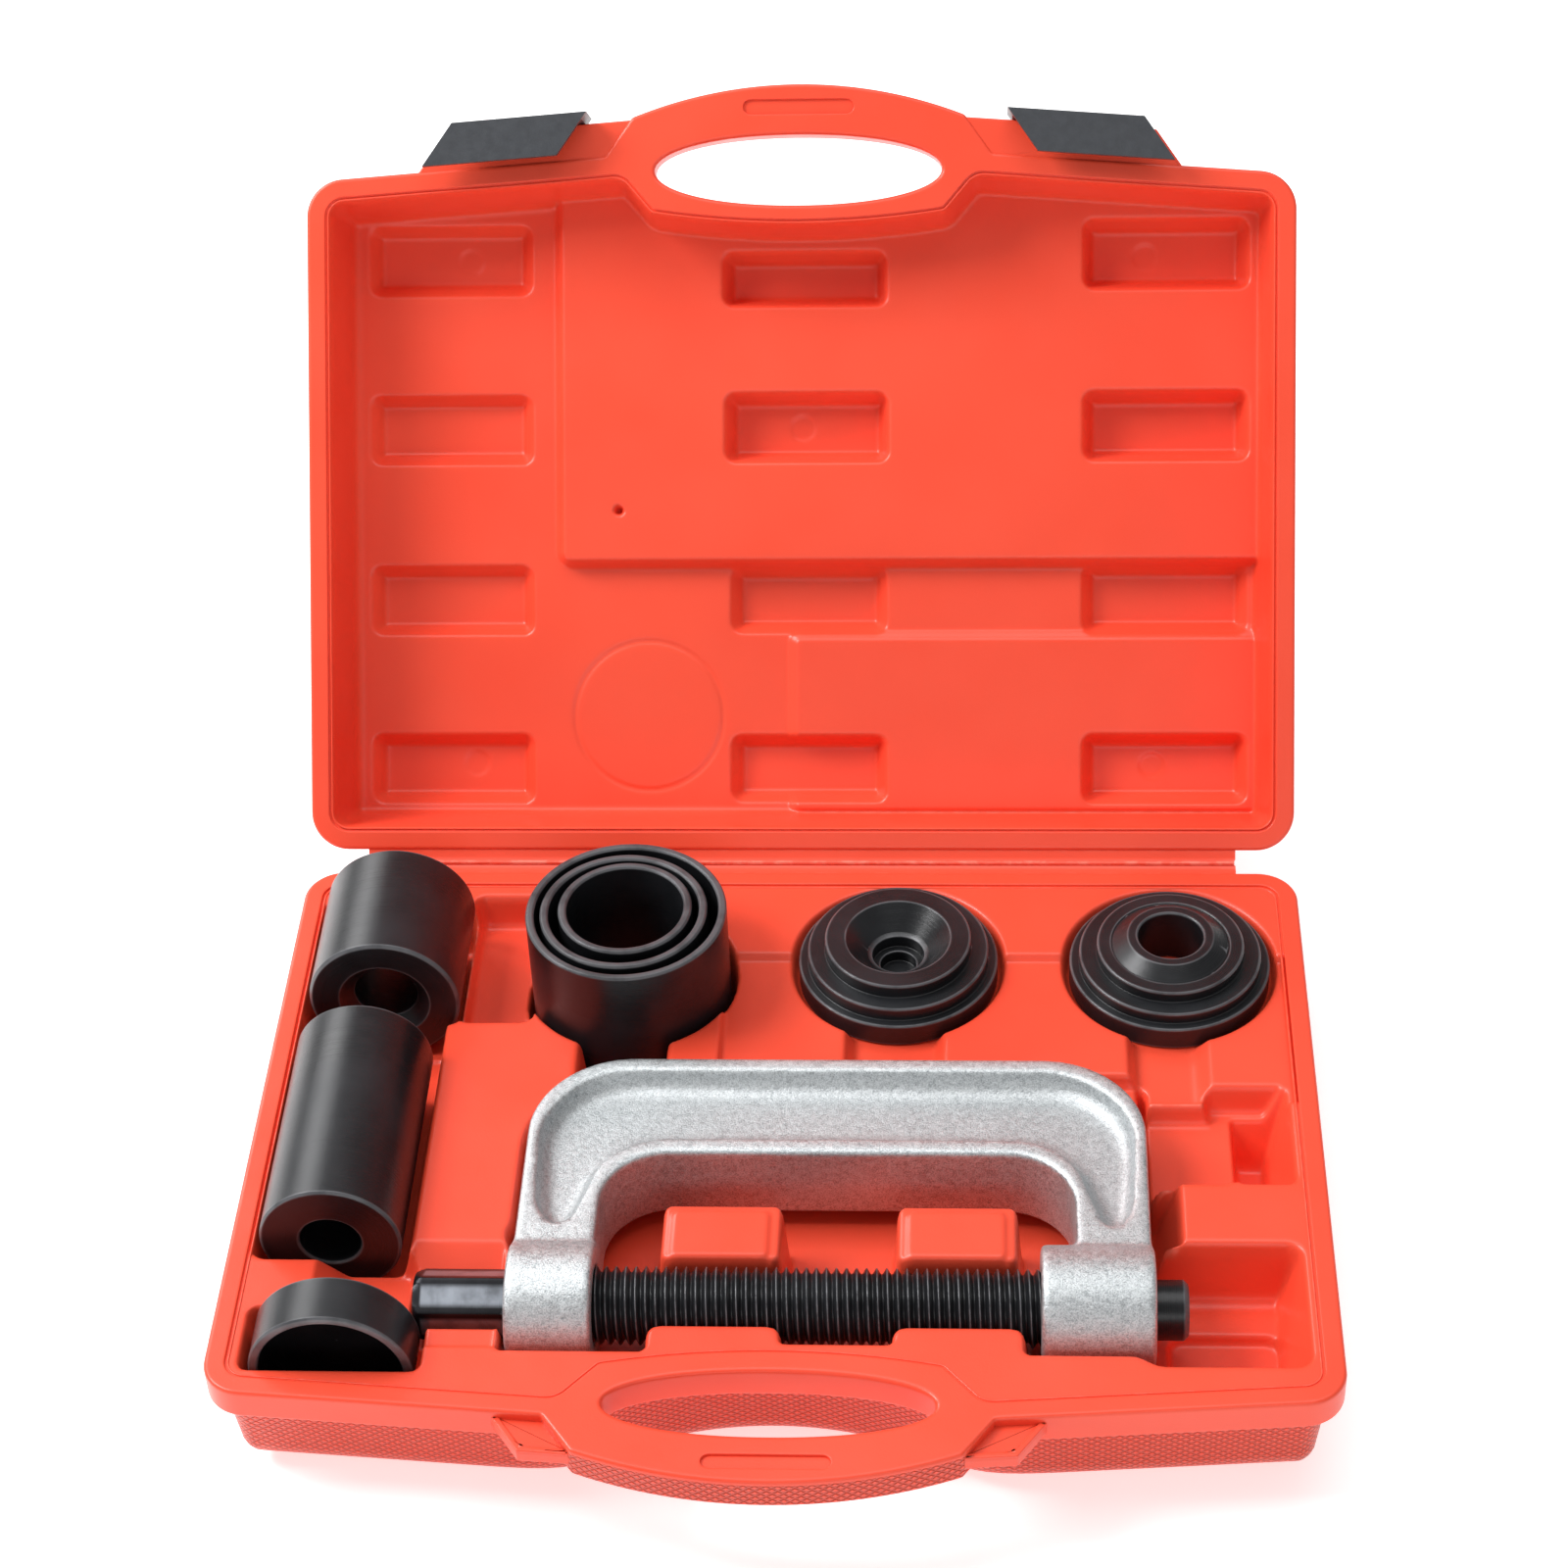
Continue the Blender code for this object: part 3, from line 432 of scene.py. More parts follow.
def plastic_material(name, base, deep, knurled):
    """Moulded plastic, cloudy and faintly scuffed, its convex edges painted lighter as scuffs and
    painted highlight, with diamonds where "knurl" is 1 whose grooves are darkened with painted
    shade.
    """
    m = Material(name)
    colour = m.mix(m.ramp(m.noise(9.0, 3.0, 0.55), 0.3, 0.7), deep, base)
    # Convex edges are painted lighter: partly scuffs, partly painted highlight.
    scuff_and_edge_highlight = m.times(m.convex_edges(), m.ramp(m.noise(160.0, 3.0, 0.6), 0.42, 0.66, 0.0, 0.30))
    colour = m.mix(scuff_and_edge_highlight, colour, (0.95, 0.42, 0.32))
    normal = m.bump(m.noise(60.0, 2.0, 0.5), 0.00025, 0.4)
    normal = m.bump(m.noise(1100.0, 2.0, 0.6), 0.00006, 0.7, normal)
    if knurled:
        uv = m.node("UVMap", uv_map="wall").outputs["UV"]
        along, down = m.node("SeparateXYZ", ((0, uv),)).outputs[:2]
        u, v = m.times(along, 1 / KNURL_U), m.times(down, 1 / KNURL_V)
        a = m.math("PINGPONG", m.math("ADD", u, v), 0.5)
        b = m.math("PINGPONG", m.math("SUBTRACT", u, v), 0.5)
        cell = m.ramp(m.math("MINIMUM", a, b), 0.03, 0.30)
        knurl = m.attribute("knurl")
        # The grooves between the diamonds are darkened with painted shade.
        painted_groove_shade = m.times(m.math("SUBTRACT", 1.0, cell), knurl)
        colour = m.mix(m.times(painted_groove_shade, 0.55), colour, (0.42, 0.028, 0.012))
        normal = m.bump(m.times(cell, knurl), 0.0007, 1.0, normal)
    return m.finish(Base_Color=colour, Normal=normal, Specular_IOR_Level=0.42,
                    Roughness=m.ramp(m.noise(22.0, 3.0, 0.6), 0.25, 0.75, 0.28, 0.38))


def black_steel_material(name, base, worn, metallic):
    """Turned steel with black oxide; the turning marks run along the drawn profile."""
    m = Material(name)
    marks = m.node("TexNoise", (("Scale", 5.0), ("Detail", 3.0)), noise_dimensions="1D")
    m.put(marks.inputs["W"], m.attribute("turn"))
    marks = marks.outputs["Fac"]
    patch = m.noise(26.0, 4.0, 0.6)

    def shade(factor):
        return tuple(min(1, c * factor) for c in base)

    colour = m.mix(m.ramp(patch, 0.32, 0.72), shade(0.7), shade(1.5))
    dust = m.ramp(m.noise(900.0, 2.0, 0.7), 0.68, 0.82)
    colour = m.mix(m.times(dust, 0.3), colour, shade(4))
    edge = m.times(m.convex_edges(), m.ramp(m.noise(220.0, 3.0, 0.6), 0.36, 0.6))
    colour = m.mix(m.times(edge, 0.7), colour, worn)
    # Rubbed places, such as the crests of the thread and the outer corners of turned pieces,
    # carry their own mask; they are painted lighter, partly as wear and partly as painted
    # highlight.
    rub_and_highlight = m.times(m.attribute("rub_and_highlight"), m.ramp(m.noise(90.0, 3.0, 0.6), 0.25, 0.6, 0.45, 1.0))
    colour = m.mix(rub_and_highlight, colour, worn)
    rough = m.math("ADD", m.times(marks, 0.5), m.times(patch, 0.5))
    normal = m.bump(marks, 0.00004, 0.8)
    normal = m.bump(m.noise(1400.0, 2.0, 0.6), 0.00002, 0.6, normal)
    return m.finish(Base_Color=colour, Metallic=metallic, Normal=normal,
                    Roughness=m.ramp(rough, 0.3, 0.7, 0.26, 0.37))


def cast_material(name):
    """A silver casting with a grain and painted glints, and painted shade on the web between its
    flanges.
    """
    m = Material(name)
    grain = m.noise(1900.0, 3.0, 0.7)
    coarse = m.noise(480.0, 3.0, 0.6)
    tone = m.math("ADD", m.times(grain, 0.7), m.times(coarse, 0.3))
    colour = m.mix(m.ramp(tone, 0.34, 0.60), (0.30, 0.325, 0.34), (0.66, 0.69, 0.70))
    # Painted glints: sparse bright specks standing in for light caught by the grain.
    glint = m.ramp(m.noise(1500.0, 1.0, 0.5), 0.66, 0.74)
    colour = m.mix(m.times(glint, 0.5), colour, (0.95, 0.95, 0.95))
    # Painted shade darkens the web between the flanges.
    colour = m.mix(m.times(m.attribute("painted_web_shade"), 0.22), colour, (0.34, 0.35, 0.36))
    normal = m.bump(coarse, 0.00030, 0.6, m.bump(grain, 0.00020, 0.9))
    return m.finish(Base_Color=colour, Metallic=0.75, Normal=normal,
                    Roughness=m.ramp(coarse, 0.3, 0.7, 0.36, 0.48))


def latch_material(name):
    """Near-black moulding with an even, finely grained surface."""
    m = Material(name)
    colour = m.mix(m.ramp(m.noise(260.0, 3.0, 0.6), 0.3, 0.7), (0.036, 0.039, 0.045),
                   (0.044, 0.048, 0.055))
    return m.finish(Base_Color=colour, Specular_IOR_Level=0.7,
                    Roughness=m.ramp(m.noise(300.0, 3.0, 0.6), 0.3, 0.7, 0.34, 0.40),
                    Normal=m.bump(m.noise(1300.0, 2.0, 0.6), 0.00008, 0.7))


SHELL = plastic_material("case_red_knurled", (0.89, 0.082, 0.038), (0.85, 0.070, 0.031), True)
TRAY = plastic_material("case_red_smooth", (0.90, 0.085, 0.040), (0.86, 0.072, 0.033), False)
STEEL = black_steel_material("black_oxide", (0.011, 0.0118, 0.0138), (0.30, 0.30, 0.32), 0.15)
HEXAGON = black_steel_material("black_oxide_bright", (0.014, 0.014, 0.016),
                               (0.30, 0.325, 0.365), 0.8)
CAST = cast_material("silver_casting")
LATCH = latch_material("black_moulding")


# ---- case halves ----

def obround(x0, x1, y, r):
    """A long flat shape with round ends, counter-clockwise."""
    left = arc(x0 + r, y, r, 90, 270, 8)
    right = arc(x1 - r, y, r, 270, 450, 8)
    return dense(left + right, 1.5)


RECESS_Y, RECESS_R = -163.6, 2.9     # the shallow recess on each half handle
RECESS_DEPTH = 1.1


def shell_piece(name, verts, faces, place, body, knurl, along, replaces=()):
    """A piece of the outer wall; its UV map is the way along the outline and the depth."""
    make(name, place(verts), faces, body, SHELL, replaces, {"knurl": knurl},
         np.stack([along, verts[:, 2]], 1), outward=True)


def build_plate(name, line, place, body, replaces):
    """The smooth band of one half with its rim and half handle."""
    recess = obround(-21.5, 22.0, RECESS_Y, RECESS_R)
    verts, faces, along, side = plate_mesh(
        [plate_outline(), tray_line(*line), hole_line(), recess], BAND,
        [(1.3, 1.0), (0.5, 0.5), (1.6, 1.4), (0.4, 0.4)])
    x, y, d = verts.T
    in_handle = (side == 0) & (y < front_edge(0) - 2) & (np.abs(x) < HANDLE_ROOT - 1)
    shell_piece(name, verts, faces, place, body, in_handle & (d > 2.2), along, (replaces,))


def build_wall(name, place, depth, body):
    """The drafted wall under the band, round into the bottom."""
    t = np.radians(np.linspace(0, 90, 9))
    levels = [(BAND - 4, WALL_TOP), (BAND + 0.6, WALL_TOP), (BAND + 1.4, WALL_TOP + 0.1)]
    levels += [(d, WALL_TOP + (WALL_FOOT - WALL_TOP) * (d - BAND) / (depth - FOOT_R - BAND))
               for d in np.linspace(BAND + 4, depth - FOOT_R - 2, 6)]
    levels += [(depth - FOOT_R + FOOT_R * math.sin(a), WALL_FOOT + FOOT_R * (1 - math.cos(a)))
               for a in t]
    levels.append((depth, WALL_FOOT + FOOT_R + 1.0))
    run = arc_length(case_outline(WALL_TOP))
    verts = np.array([(x, y, d) for d, inset in levels for x, y in case_outline(inset)])
    d, n = verts[:, 2], len(run)
    faces = ring_faces(n, len(levels))
    last = range(n * (len(levels) - 1), n * len(levels))
    faces += [tuple(last[i] for i in tri) for tri in cap_triangles(verts, [last])]
    shell_piece(name, verts, faces, place, body, (d > BAND + 1) & (d < depth - 4),
                np.tile(run, len(levels)))


def slab(name, loops, d0, d1, place, body, bevel=0.6):
    """A smooth plate between two depths with rounded edges."""
    verts, faces, along, _ = plate_mesh(loops, d1 - d0, [(bevel, bevel)] * len(loops))
    verts[:, 2] += d0
    shell_piece(name, verts, faces, place, body, np.zeros(len(verts)), along)


def slanted(side, start, length, y_back, y_front):
    """The slanted plan of a ledge or rail, left (-1) or right (1) of the handle."""
    def corner(along, y):
        return side * (start + along - 0.70 * (-144.0 - y)), y + SLOPE * (start + along - 93.9)
    points = [(*corner(along, y), 1.0) for along, y in ((0, y_back), (length, y_back),
                                                        (length, y_front), (0, y_front))]
    return dense(fillet(points if side < 0 else points[::-1]), 4)


def line_bead(name, line, place, body):
    """The low bead and groove just inside the rim's inner edge."""
    loop = tray_line(*line)
    section = ((0.05, 2.2), (0.1, 1.9), (0.55, 1.7), (0.75, 0.8), (1.0, 0.55), (1.3, 0.65),
               (1.6, 1.5))
    verts = [(x, y, d) for inset, d in section for x, y in offset(loop, inset)]
    make(name, place(verts), ring_faces(len(loop), len(section)), body, TRAY)


HALVES = (("base", BASE_LINE, place_base, BASE_DEPTH, "case_base"),
          ("lid", LID_LINE, place_lid, LID_DEPTH, "lid"))
for tag, line, place, depth, body in HALVES:
    build_plate(tag + "_rim_and_handle", line, place, body, tag + "_outer_shell")
    build_wall(tag + "_wall", place, depth, body)
for tag, line, place, _, body in HALVES:
    line_bead(tag + "_rim_bead", line, place, body)
for tag, _, place, _, body in HALVES:
    slab(tag + "_handle_recess", [obround(-22.0, 22.5, RECESS_Y, RECESS_R + 0.5)],
         RECESS_DEPTH, BAND - 0.6, place, body, 0.3)
for side, tag in ((-1, "left"), (1, "right")):
    ledge = slanted(side, 72.5, 20.9, -141.0, -157.7)
    slab("base_ledge_" + tag, [ledge], 4.0, 8.7, place_base, "case_base")
    border = [[tuple(p) for p in offset(ledge, inset)] for inset in (0.06, 2.2)]
    slab("base_ledge_border_" + tag, border, 3.2, 6.0, place_base, "case_base", 0.4)
    rail = slanted(side, 74.0, 76.0, -140.5, -157.7)
    slab("lid_rail_" + tag, [rail], 0.7, 5.7, place_lid, "lid")


# ---- relief surfaces: tray and lid panel ----

def box_distance(x, y, box, r):
    """Distance outside a box (x0, x1, y0, y1) with rounded corners, negative inside."""
    x0, x1, y0, y1 = box
    qx = np.abs(x - (x0 + x1) / 2) - (x1 - x0) / 2 + r
    qy = np.abs(y - (y0 + y1) / 2) - (y1 - y0) / 2 + r
    return np.hypot(np.maximum(qx, 0), np.maximum(qy, 0)) + np.minimum(np.maximum(qx, qy), 0) - r


def circle_distance(x, y, cx, cy, r):
    return np.hypot(x - cx, y - cy) - r


def sunk(d, top, floor, run=1.5, r_top=2.2, r_floor=3.0):
    """Height across a pocket's edge; d is the distance outside it, and top may vary."""
    depth = np.maximum(top - floor, 1e-3)
    r_top, r_floor = np.minimum(r_top, 0.45 * depth), np.minimum(r_floor, 0.45 * depth)
    z = top + 0.0 * d
    t = np.clip((r_top - d) / r_top, 0, 1)
    z = np.where(d < r_top, top - r_top + r_top * np.sqrt(np.maximum(1 - t * t, 0)), z)
    wall = (top - r_top) + (d / run) * (depth - r_top - r_floor)
    z = np.where(d < 0, wall, z)
    t = np.clip((d + run + r_floor) / r_floor, 0, 1)
    low = floor + r_floor - r_floor * np.sqrt(np.maximum(1 - t * t, 0))
    return np.where(d < -run, low, z)


def raised(d, floor, top, run=1.5, r_top=1.6, r_floor=1.6):
    """Height across an island's edge; d is the distance outside it."""
    return sunk(-d - run, top, floor, run, r_top, r_floor)


def smoothed(h, sigma):
    """Gaussian smoothing of a grid; sigma is in steps."""
    n = int(3 * sigma + 1)
    kernel = np.exp(-0.5 * (np.arange(-n, n + 1) / sigma) ** 2)
    kernel /= kernel.sum()
    for axis in (0, 1):
        pad = [(n, n) if a == axis else (0, 0) for a in (0, 1)]
        wide = np.pad(h, pad, mode="edge")
        h = sum(k * np.take(wide, range(i, i + h.shape[axis]), axis)
                for i, k in enumerate(kernel))
    return h


def grid_lines(low, high, step):
    return np.linspace(low, high, int(round((high - low) / step)) + 1)


def relief(name, height, place, body, replaces):
    """A grid over the case's inside whose depth under the rim comes from height(x, y)."""
    edge = 6.4
    xs = grid_lines(-HALF + edge, HALF - edge, RELIEF_STEP)
    ys = grid_lines(FRONT_Y - 8 + edge, BACK - edge, RELIEF_STEP)
    x, y = np.meshgrid(xs, ys)
    h = smoothed(height(x, y), 0.45 / RELIEF_STEP)
    inside = (y > front_edge(0, edge - 0.6) + SLOPE * np.abs(x))
    past_bay = np.hypot(x, y - BAY_Y) > BAY_R + 1.5
    past_hole = np.hypot(x / (HOLE_X + 3.0), (y - HOLE_MID) / (HOLE_Y + 3.0)) > 1.0
    keep = inside & (past_hole | (y > -125)) & (past_bay | (np.abs(x) > 62))
    cell = keep[:-1, :-1] & keep[1:, :-1] & keep[:-1, 1:] & keep[1:, 1:]
    index = np.arange(x.size).reshape(x.shape)
    quads = np.stack([index[:-1, :-1], index[:-1, 1:], index[1:, 1:], index[1:, :-1]], 2)[cell]
    used, quads = np.unique(quads, return_inverse=True)
    verts = np.stack([x, y, -h], 2).reshape(-1, 3)[used]
    make(name, place(verts), quads.reshape(-1, 4), body, TRAY, (replaces,))


def smooth_min(a, b, k):
    """The lower of two heights, blended where they are within k of each other."""
    t = np.clip(0.5 + 0.5 * (b - a) / k, 0, 1)
    return b * (1 - t) + a * t - k * t * (1 - t)


def smooth_max(a, b, k):
    return -smooth_min(-a, -b, k)


def press_pocket(x, y, deck):
    """The pocket of the C-frame and its screw, with the room for the screw's nose."""
    d = box_distance(x, y, (-95, 133.3, -66, 20), 5)
    # The back left corner follows the frame's own corner.
    corner = (x < -55.7) & (y > -20)
    d = np.where(corner, np.maximum(d, circle_distance(x, y, -55.7, -20, 39.3)), d)
    for box in ((-95, -44, -114.9, -60), (87, 133.3, -114.9, -62), (-60, 90, -103.4, -60),
                (3, 41, -111.3, -60), (125, 143, -64, -35)):
        d = smooth_min(d, box_distance(x, y, box, 2), 5.5)
    floor = -29.8
    h = sunk(d, deck, floor, 1.5, 2.0, 3.5)
    ramp = (y > -67) & (y < -32) & (x > 120)
    h = np.where(ramp, smooth_max(h, -29.5 + (x - 134) * 29 / 9.5, 4.0), h)
    h = np.minimum(h, deck)
    nose = smooth_min(box_distance(x, y, (128, 184.5, -119.4, -65), 7),
                      box_distance(x, y, (87, 133.3, -114.9, -70), 2), 6.0)
    room = sunk(nose, deck, -27.5, 2.0, 2.4, 6.0)
    room = np.where(x > 160, smooth_max(room, -29.5 + (x - 176) * 28 / 8.5, 5.0), room)
    low = box_distance(x, y, (137, 177, -117.5, -84.5), 6)
    room = np.minimum(room, sunk(low, np.maximum(room, -27.5), -31.0, 0.8, 0.8, 1.0))
    h = np.minimum(h, room)
    # The back right corner stands on the level of the channel behind it.
    step = raised(box_distance(x, y, (113, 131, 8.5, 40), 2), floor, CHANNEL, 1.2, 1.6, 2.0)
    return np.where((x > 108) & (y > 4) & (y < 24), np.maximum(h, np.minimum(step, deck)), h)


CHANNEL = -10.0                 # floor of the channels beside the round pockets

# box (x0, x1, y0, y1), corner radius, floor, run of the wall, top radius, foot radius
TRAY_POCKETS = (
    ((-186, -125.5, 44.5, 111), 5, -24.9, 2.4, 2.5, 3),      # thick sleeve
    ((-186.2, -130.8, -74, 50), 5, -24.9, 2.3, 2.5, 3),      # long sleeve
    ((-182.5, -121, -125, -98), 3, -34.6, 1.0, 1.5, 3),      # cup
    ((-127, -98, 45.5, 115), 5, -15.0, 2.0, 2, 3),           # finger room beside the sleeve
    ((-78, -46, 8, 50), 3, -28.6, 1.5, 3, 3),                # channel of the tubes
    ((22, 57, 8, 62), 3, CHANNEL, 1.5, 3, 2),                # channel of the concave disc
    ((-129, -94, -104.8, -76.6), 3, -23.0, 0.8, 1.6, 2),     # hexagon
    ((118, 163, -35, 8.5), 5, -15.0, 2.0, 3, 3),             # level beside the frame
)
# centre, radius, floor of the tubes' and the two discs' pockets
ROUND_POCKETS = ((-62.1, 71.4, 40.2, -44.2), (40.2, 79.7, 40.4, -9.8), (143.8, 78.6, 40.4, -9.8))


def tray_height(x, y):
    """Height against the rim plane, 0 at the rim."""
    # The floor between the round pockets steps down toward the front.
    low = box_distance(x, y, (-26, 200, 5, 82.5), 2.0)
    deck = np.minimum(RIM_LEVEL, sunk(low, RIM_LEVEL, -3.7, 0.3, 0.8, 0.8))

    def pocket(box, r, *levels):
        return sunk(box_distance(x, y, box, r), deck, *levels)

    h = deck
    for sizes in TRAY_POCKETS:
        h = np.minimum(h, pocket(*sizes))
    for cx, cy, r, floor in ROUND_POCKETS:
        h = np.minimum(h, sunk(circle_distance(x, y, cx, cy, r), deck, floor, 1.0, 1.6, 1.5))
    # Pockets with one or two long sloping walls.
    saddle = pocket((-163, -126, -101, -70), 7, -12.8, 2.0, 3.0, 3.0)
    h = np.minimum(h, smooth_max(saddle, RIM_LEVEL - (x + 163) * 11.8 / 11.0, 2.0))
    channel = pocket((127.5, 157, 8.5, 62), 4, CHANNEL, 1.5, 2.5, 2.0)
    h = np.minimum(h, smooth_max(channel, CHANNEL + (x - 151) * 6.3 / 6.0, 2.0))
    small = pocket((163, 184.5, -35, 14.5), 4, -33.5, 2.0, 2.5, 3.0)
    back = -33.5 + (y - 0.5) * 29.8 / 13.5
    side = -34.0 + (x - 176) * 30 / 8.0
    h = np.minimum(h, smooth_max(smooth_max(small, back, 3.0), side, 3.0))
    sill = pocket((153, 184.5, -34, 14.5), 4, -15.0, 2.0, 2.5, 2.0)
    h = np.minimum(h, smooth_max(sill, -15.0 + (x - 176) * 14 / 8.0, 3.0))
    h = np.minimum(h, press_pocket(x, y, deck))
    # A slope leads down to the hexagon, and a low tab stands in front of it.
    behind = (x > -129) & (x < -96) & (y < -66) & (y >= -79)
    h = np.minimum(h, np.where(behind, RIM_LEVEL - 0.62 * (-66 - y), 0.0))
    h = np.where((x > -122) & (x < -96) & (y < -104.2) & (y > -114.5) & (h > -2.5), -2.5, h)
    # Two blocks with a raised pad stand in the frame's throat.
    for x0, x1 in ((-43.0, 3.0), (40.5, 86.5)):
        block = box_distance(x, y, (x0, x1, -76, -46.1), 5)
        pad = box_distance(x, y, (x0 + 5, x1 - 6, -74, -51), 3)
        top = raised(block, -31, RIM_LEVEL, 1.5, 2.2, 2.0)
        top = top + np.where(pad < 3, raised(pad, 0.0, 1.2, 0.5, 0.6, 0.5), 0.0)
        h = np.where(block < 4, np.maximum(h, top), h)
    return h


def inside_distance(x, y, loop):
    """Distance from a closed line, positive inside it."""
    px, py = x.ravel(), y.ravel()
    best = np.full(px.shape, 1e9)
    odd = np.zeros(px.shape, bool)
    for (x0, y0), (x1, y1) in zip(loop, loop[1:] + loop[:1]):
        ex, ey = x1 - x0, y1 - y0
        t = np.clip(((px - x0) * ex + (py - y0) * ey) / max(ex * ex + ey * ey, 1e-12), 0, 1)
        best = np.minimum(best, (px - x0 - t * ex) ** 2 + (py - y0 - t * ey) ** 2)
        crosses = (y0 > py) != (y1 > py)
        if crosses.any():
            odd[crosses] ^= px[crosses] < x0 + (py[crosses] - y0) * ex / ey
    return (np.sqrt(best) * np.where(odd, 1, -1)).reshape(x.shape)


def lid_height(x, y):
    """Height of the lid's inside; s is the distance from the hinge."""
    s = HINGE[1] - y
    # A narrow lip, then the wall down to the panel.
    lip, run, r_top, r_floor = 1.8, 3.6, 2.0, 3.6
    d = lip - inside_distance(x, y, tray_line(*LID_LINE))
    h = sunk(d, RIM_LEVEL, PANEL_LEVEL, run, r_top, r_floor)
    # Raised blocks, which run on past the panel's edge: box, corner radius, level.
    blocks = (((-99, 260, -400, 16), 6, -26.7), ((-5, 300, 43, 117), 4, -30.7))
    mouth = np.full_like(x, PANEL_LEVEL)
    for box, r, top in blocks:
        rise = raised(box_distance(x, y, box, r), PANEL_LEVEL, top, 1.8, 1.6, 1.6)
        h = np.maximum(h, np.minimum(rise, sunk(d + 3, RIM_LEVEL, top, run, r_top, r_floor)))
        mouth = np.maximum(mouth, rise)
    # Tack-off pockets: middle, distance from the hinge, width and height. The outer columns
    # are alike; the middle one leaves room for the handle.
    rows = (242.0, 173.6, 104.5, 36.0)
    pockets = [(cx, cs, 65.0, 27.0) for cx in (-142.5, 145.7) for cs in rows]
    pockets += [(1.3, 233.0, 65.0, 21.0), (2.0, rows[1], 65.0, 27.0)]
    pockets += [(2.5, cs, 62.0, 26.0) for cs in rows[2:]]
    for cx, cs, w, t in pockets:
        gap = box_distance(x, s, (cx - w / 2, cx + w / 2, cs - t / 2, cs + t / 2), 4)
        h = np.minimum(h, np.where(gap < 2.5, sunk(gap, mouth, -41.0, 2.6, 1.5, 2.6), h))
    # Ejector marks on five of the floors.
    for cx, cs in ((-135, 242), (138, 242), (0, 174), (-134, 38), (141, 37)):
        h = h - 0.5 * (1 - raised_edge(circle_distance(x, s, cx, cs, 5.0), 0.5))
    # A witness ring and a small vent.
    ring = np.abs(circle_distance(x, s, -62.5, 57.5, 30.2))
    h = h - 0.8 * np.exp(-(ring / 0.7) ** 2)
    h = h - 6.0 * (1 - raised_edge(circle_distance(x, s, -74, 140.5, 1.5), 0.4))
    return h


def raised_edge(d, width):
    """0 inside an outline, 1 outside it, with a soft edge."""
    t = np.clip(0.5 + d / (2 * width), 0, 1)
    return t * t * (3 - 2 * t)


relief("base_tray_relief", tray_height, place_base, "case_base", "base_tray")
relief("lid_panel_relief", lid_height, place_lid, "lid", "lid_inner_panel")


# ---- turned pieces ----

def corner_rub_and_highlight(points):
    """How far each profile point lies on an outer corner, from 0 to 1; these corners are painted
    lighter, partly as wear and partly as painted highlight.
    """
    p = points[:, :2]
    ahead, behind = np.roll(p, -1, 0) - p, p - np.roll(p, 1, 0)
    bend = np.arctan2(behind[:, 0] * ahead[:, 1] - behind[:, 1] * ahead[:, 0],
                      (ahead * behind).sum(1))
    bend *= np.sign(bend.sum())
    gap = np.linalg.norm(p[:, None] - p[None], axis=2)
    near = np.clip(1.6 - gap / 0.3, 0, 1)
    return np.clip((near * bend[None]).sum(1) / 0.8, 0, 1) * 0.32


def lathe(name, node, body, place, profile, r=0.3, sides=160, corner_steps=3):
    """A solid of revolution about Z, moved by place, with its corners rounded to r.

    The profile of a blind piece starts and ends on the axis.
    """
    p = np.array(fillet([(a, b, r if a > 0 else 0) for a, b in profile], corner_steps))
    blind = p[0][0] == 0
    run = arc_length(p)
    split = []
    for i in range(len(p)):
        j = (i + 1) % len(p)
        if blind and j == 0:
            split.append((*p[i], run[i]))
            continue
        length = math.hypot(*(p[j] - p[i]))
        cuts = list(np.linspace(0, 1, max(1, int(length / 4.0)) + 1)[:-1])
        if length > 2.0:
            cuts += [0.5 / length, 1 - 0.5 / length]
        split += [(*(p[i] + (p[j] - p[i]) * t), run[i] + length * t) for t in sorted(cuts)]
    split = np.array(split)
    m = len(split)
    t = round_angles(sides)
    x = split[None, :, 0] * np.cos(t)[:, None]
    y = split[None, :, 0] * np.sin(t)[:, None]
    z = np.repeat(split[None, :, 1], sides, 0)
    faces = ring_faces(m, sides, True)
    if blind:
        faces = [f for f in faces if {f[0] % m, f[1] % m} != {0, m - 1}]
    obj = make(name, place(np.stack([x, y, z], 2).reshape(-1, 3)), faces, body,
               STEEL, (node,),
               {"turn": np.tile(split[:, 2], sides), "rub_and_highlight": np.tile(corner_rub_and_highlight(split), sides)},
               outward=True, weld=blind)
    obj.data.set_sharp_from_angle(angle=math.radians(50))


def node_box(node):
    lo, hi = (np.array(c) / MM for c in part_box(node))
    return lo, hi, (lo + hi) / 2


def upright(node):
    """The profile stands on the node's foot."""
    lo, _, c = node_box(node)
    return lambda v: v + np.array([c[0], c[1], lo[2]])


def facing_front(node):
    """The profile's foot lies at the back and its top faces -Y."""
    _, hi, c = node_box(node)
    return lambda v: np.stack([v[:, 0] + c[0], hi[1] - v[:, 2], v[:, 1] + c[2]], 1)


def tube(node, body, outer, inner):
    c, length = 0.7, 76.2
    profile = [(inner, length - c), (inner, c), (inner + c, 0), (outer - c, 0), (outer, c),
               (outer, length - c), (outer - c, length), (inner + c, length)]
    lathe(node + "_turned", node, body, upright(node), profile, 0.25, corner_steps=2)


def disc(name, node, body, first, step, rest):
    """A flange with two steps on it; rest(top) is the profile from there to the axis."""
    h, c = 9.5, 0.5
    top = h + 2 * step
    outside = [(38.1 - c, 0), (38.1, c), (38.1, h - c), (38.1 - c, h), (34.5, h),
               (34.5, h + step - c), (34.5 - c, h + step), (27.9, h + step),
               (27.9, top - c), (27.9 - c, top)]
    lathe(name, node, body, upright(node), first + outside + rest(top))


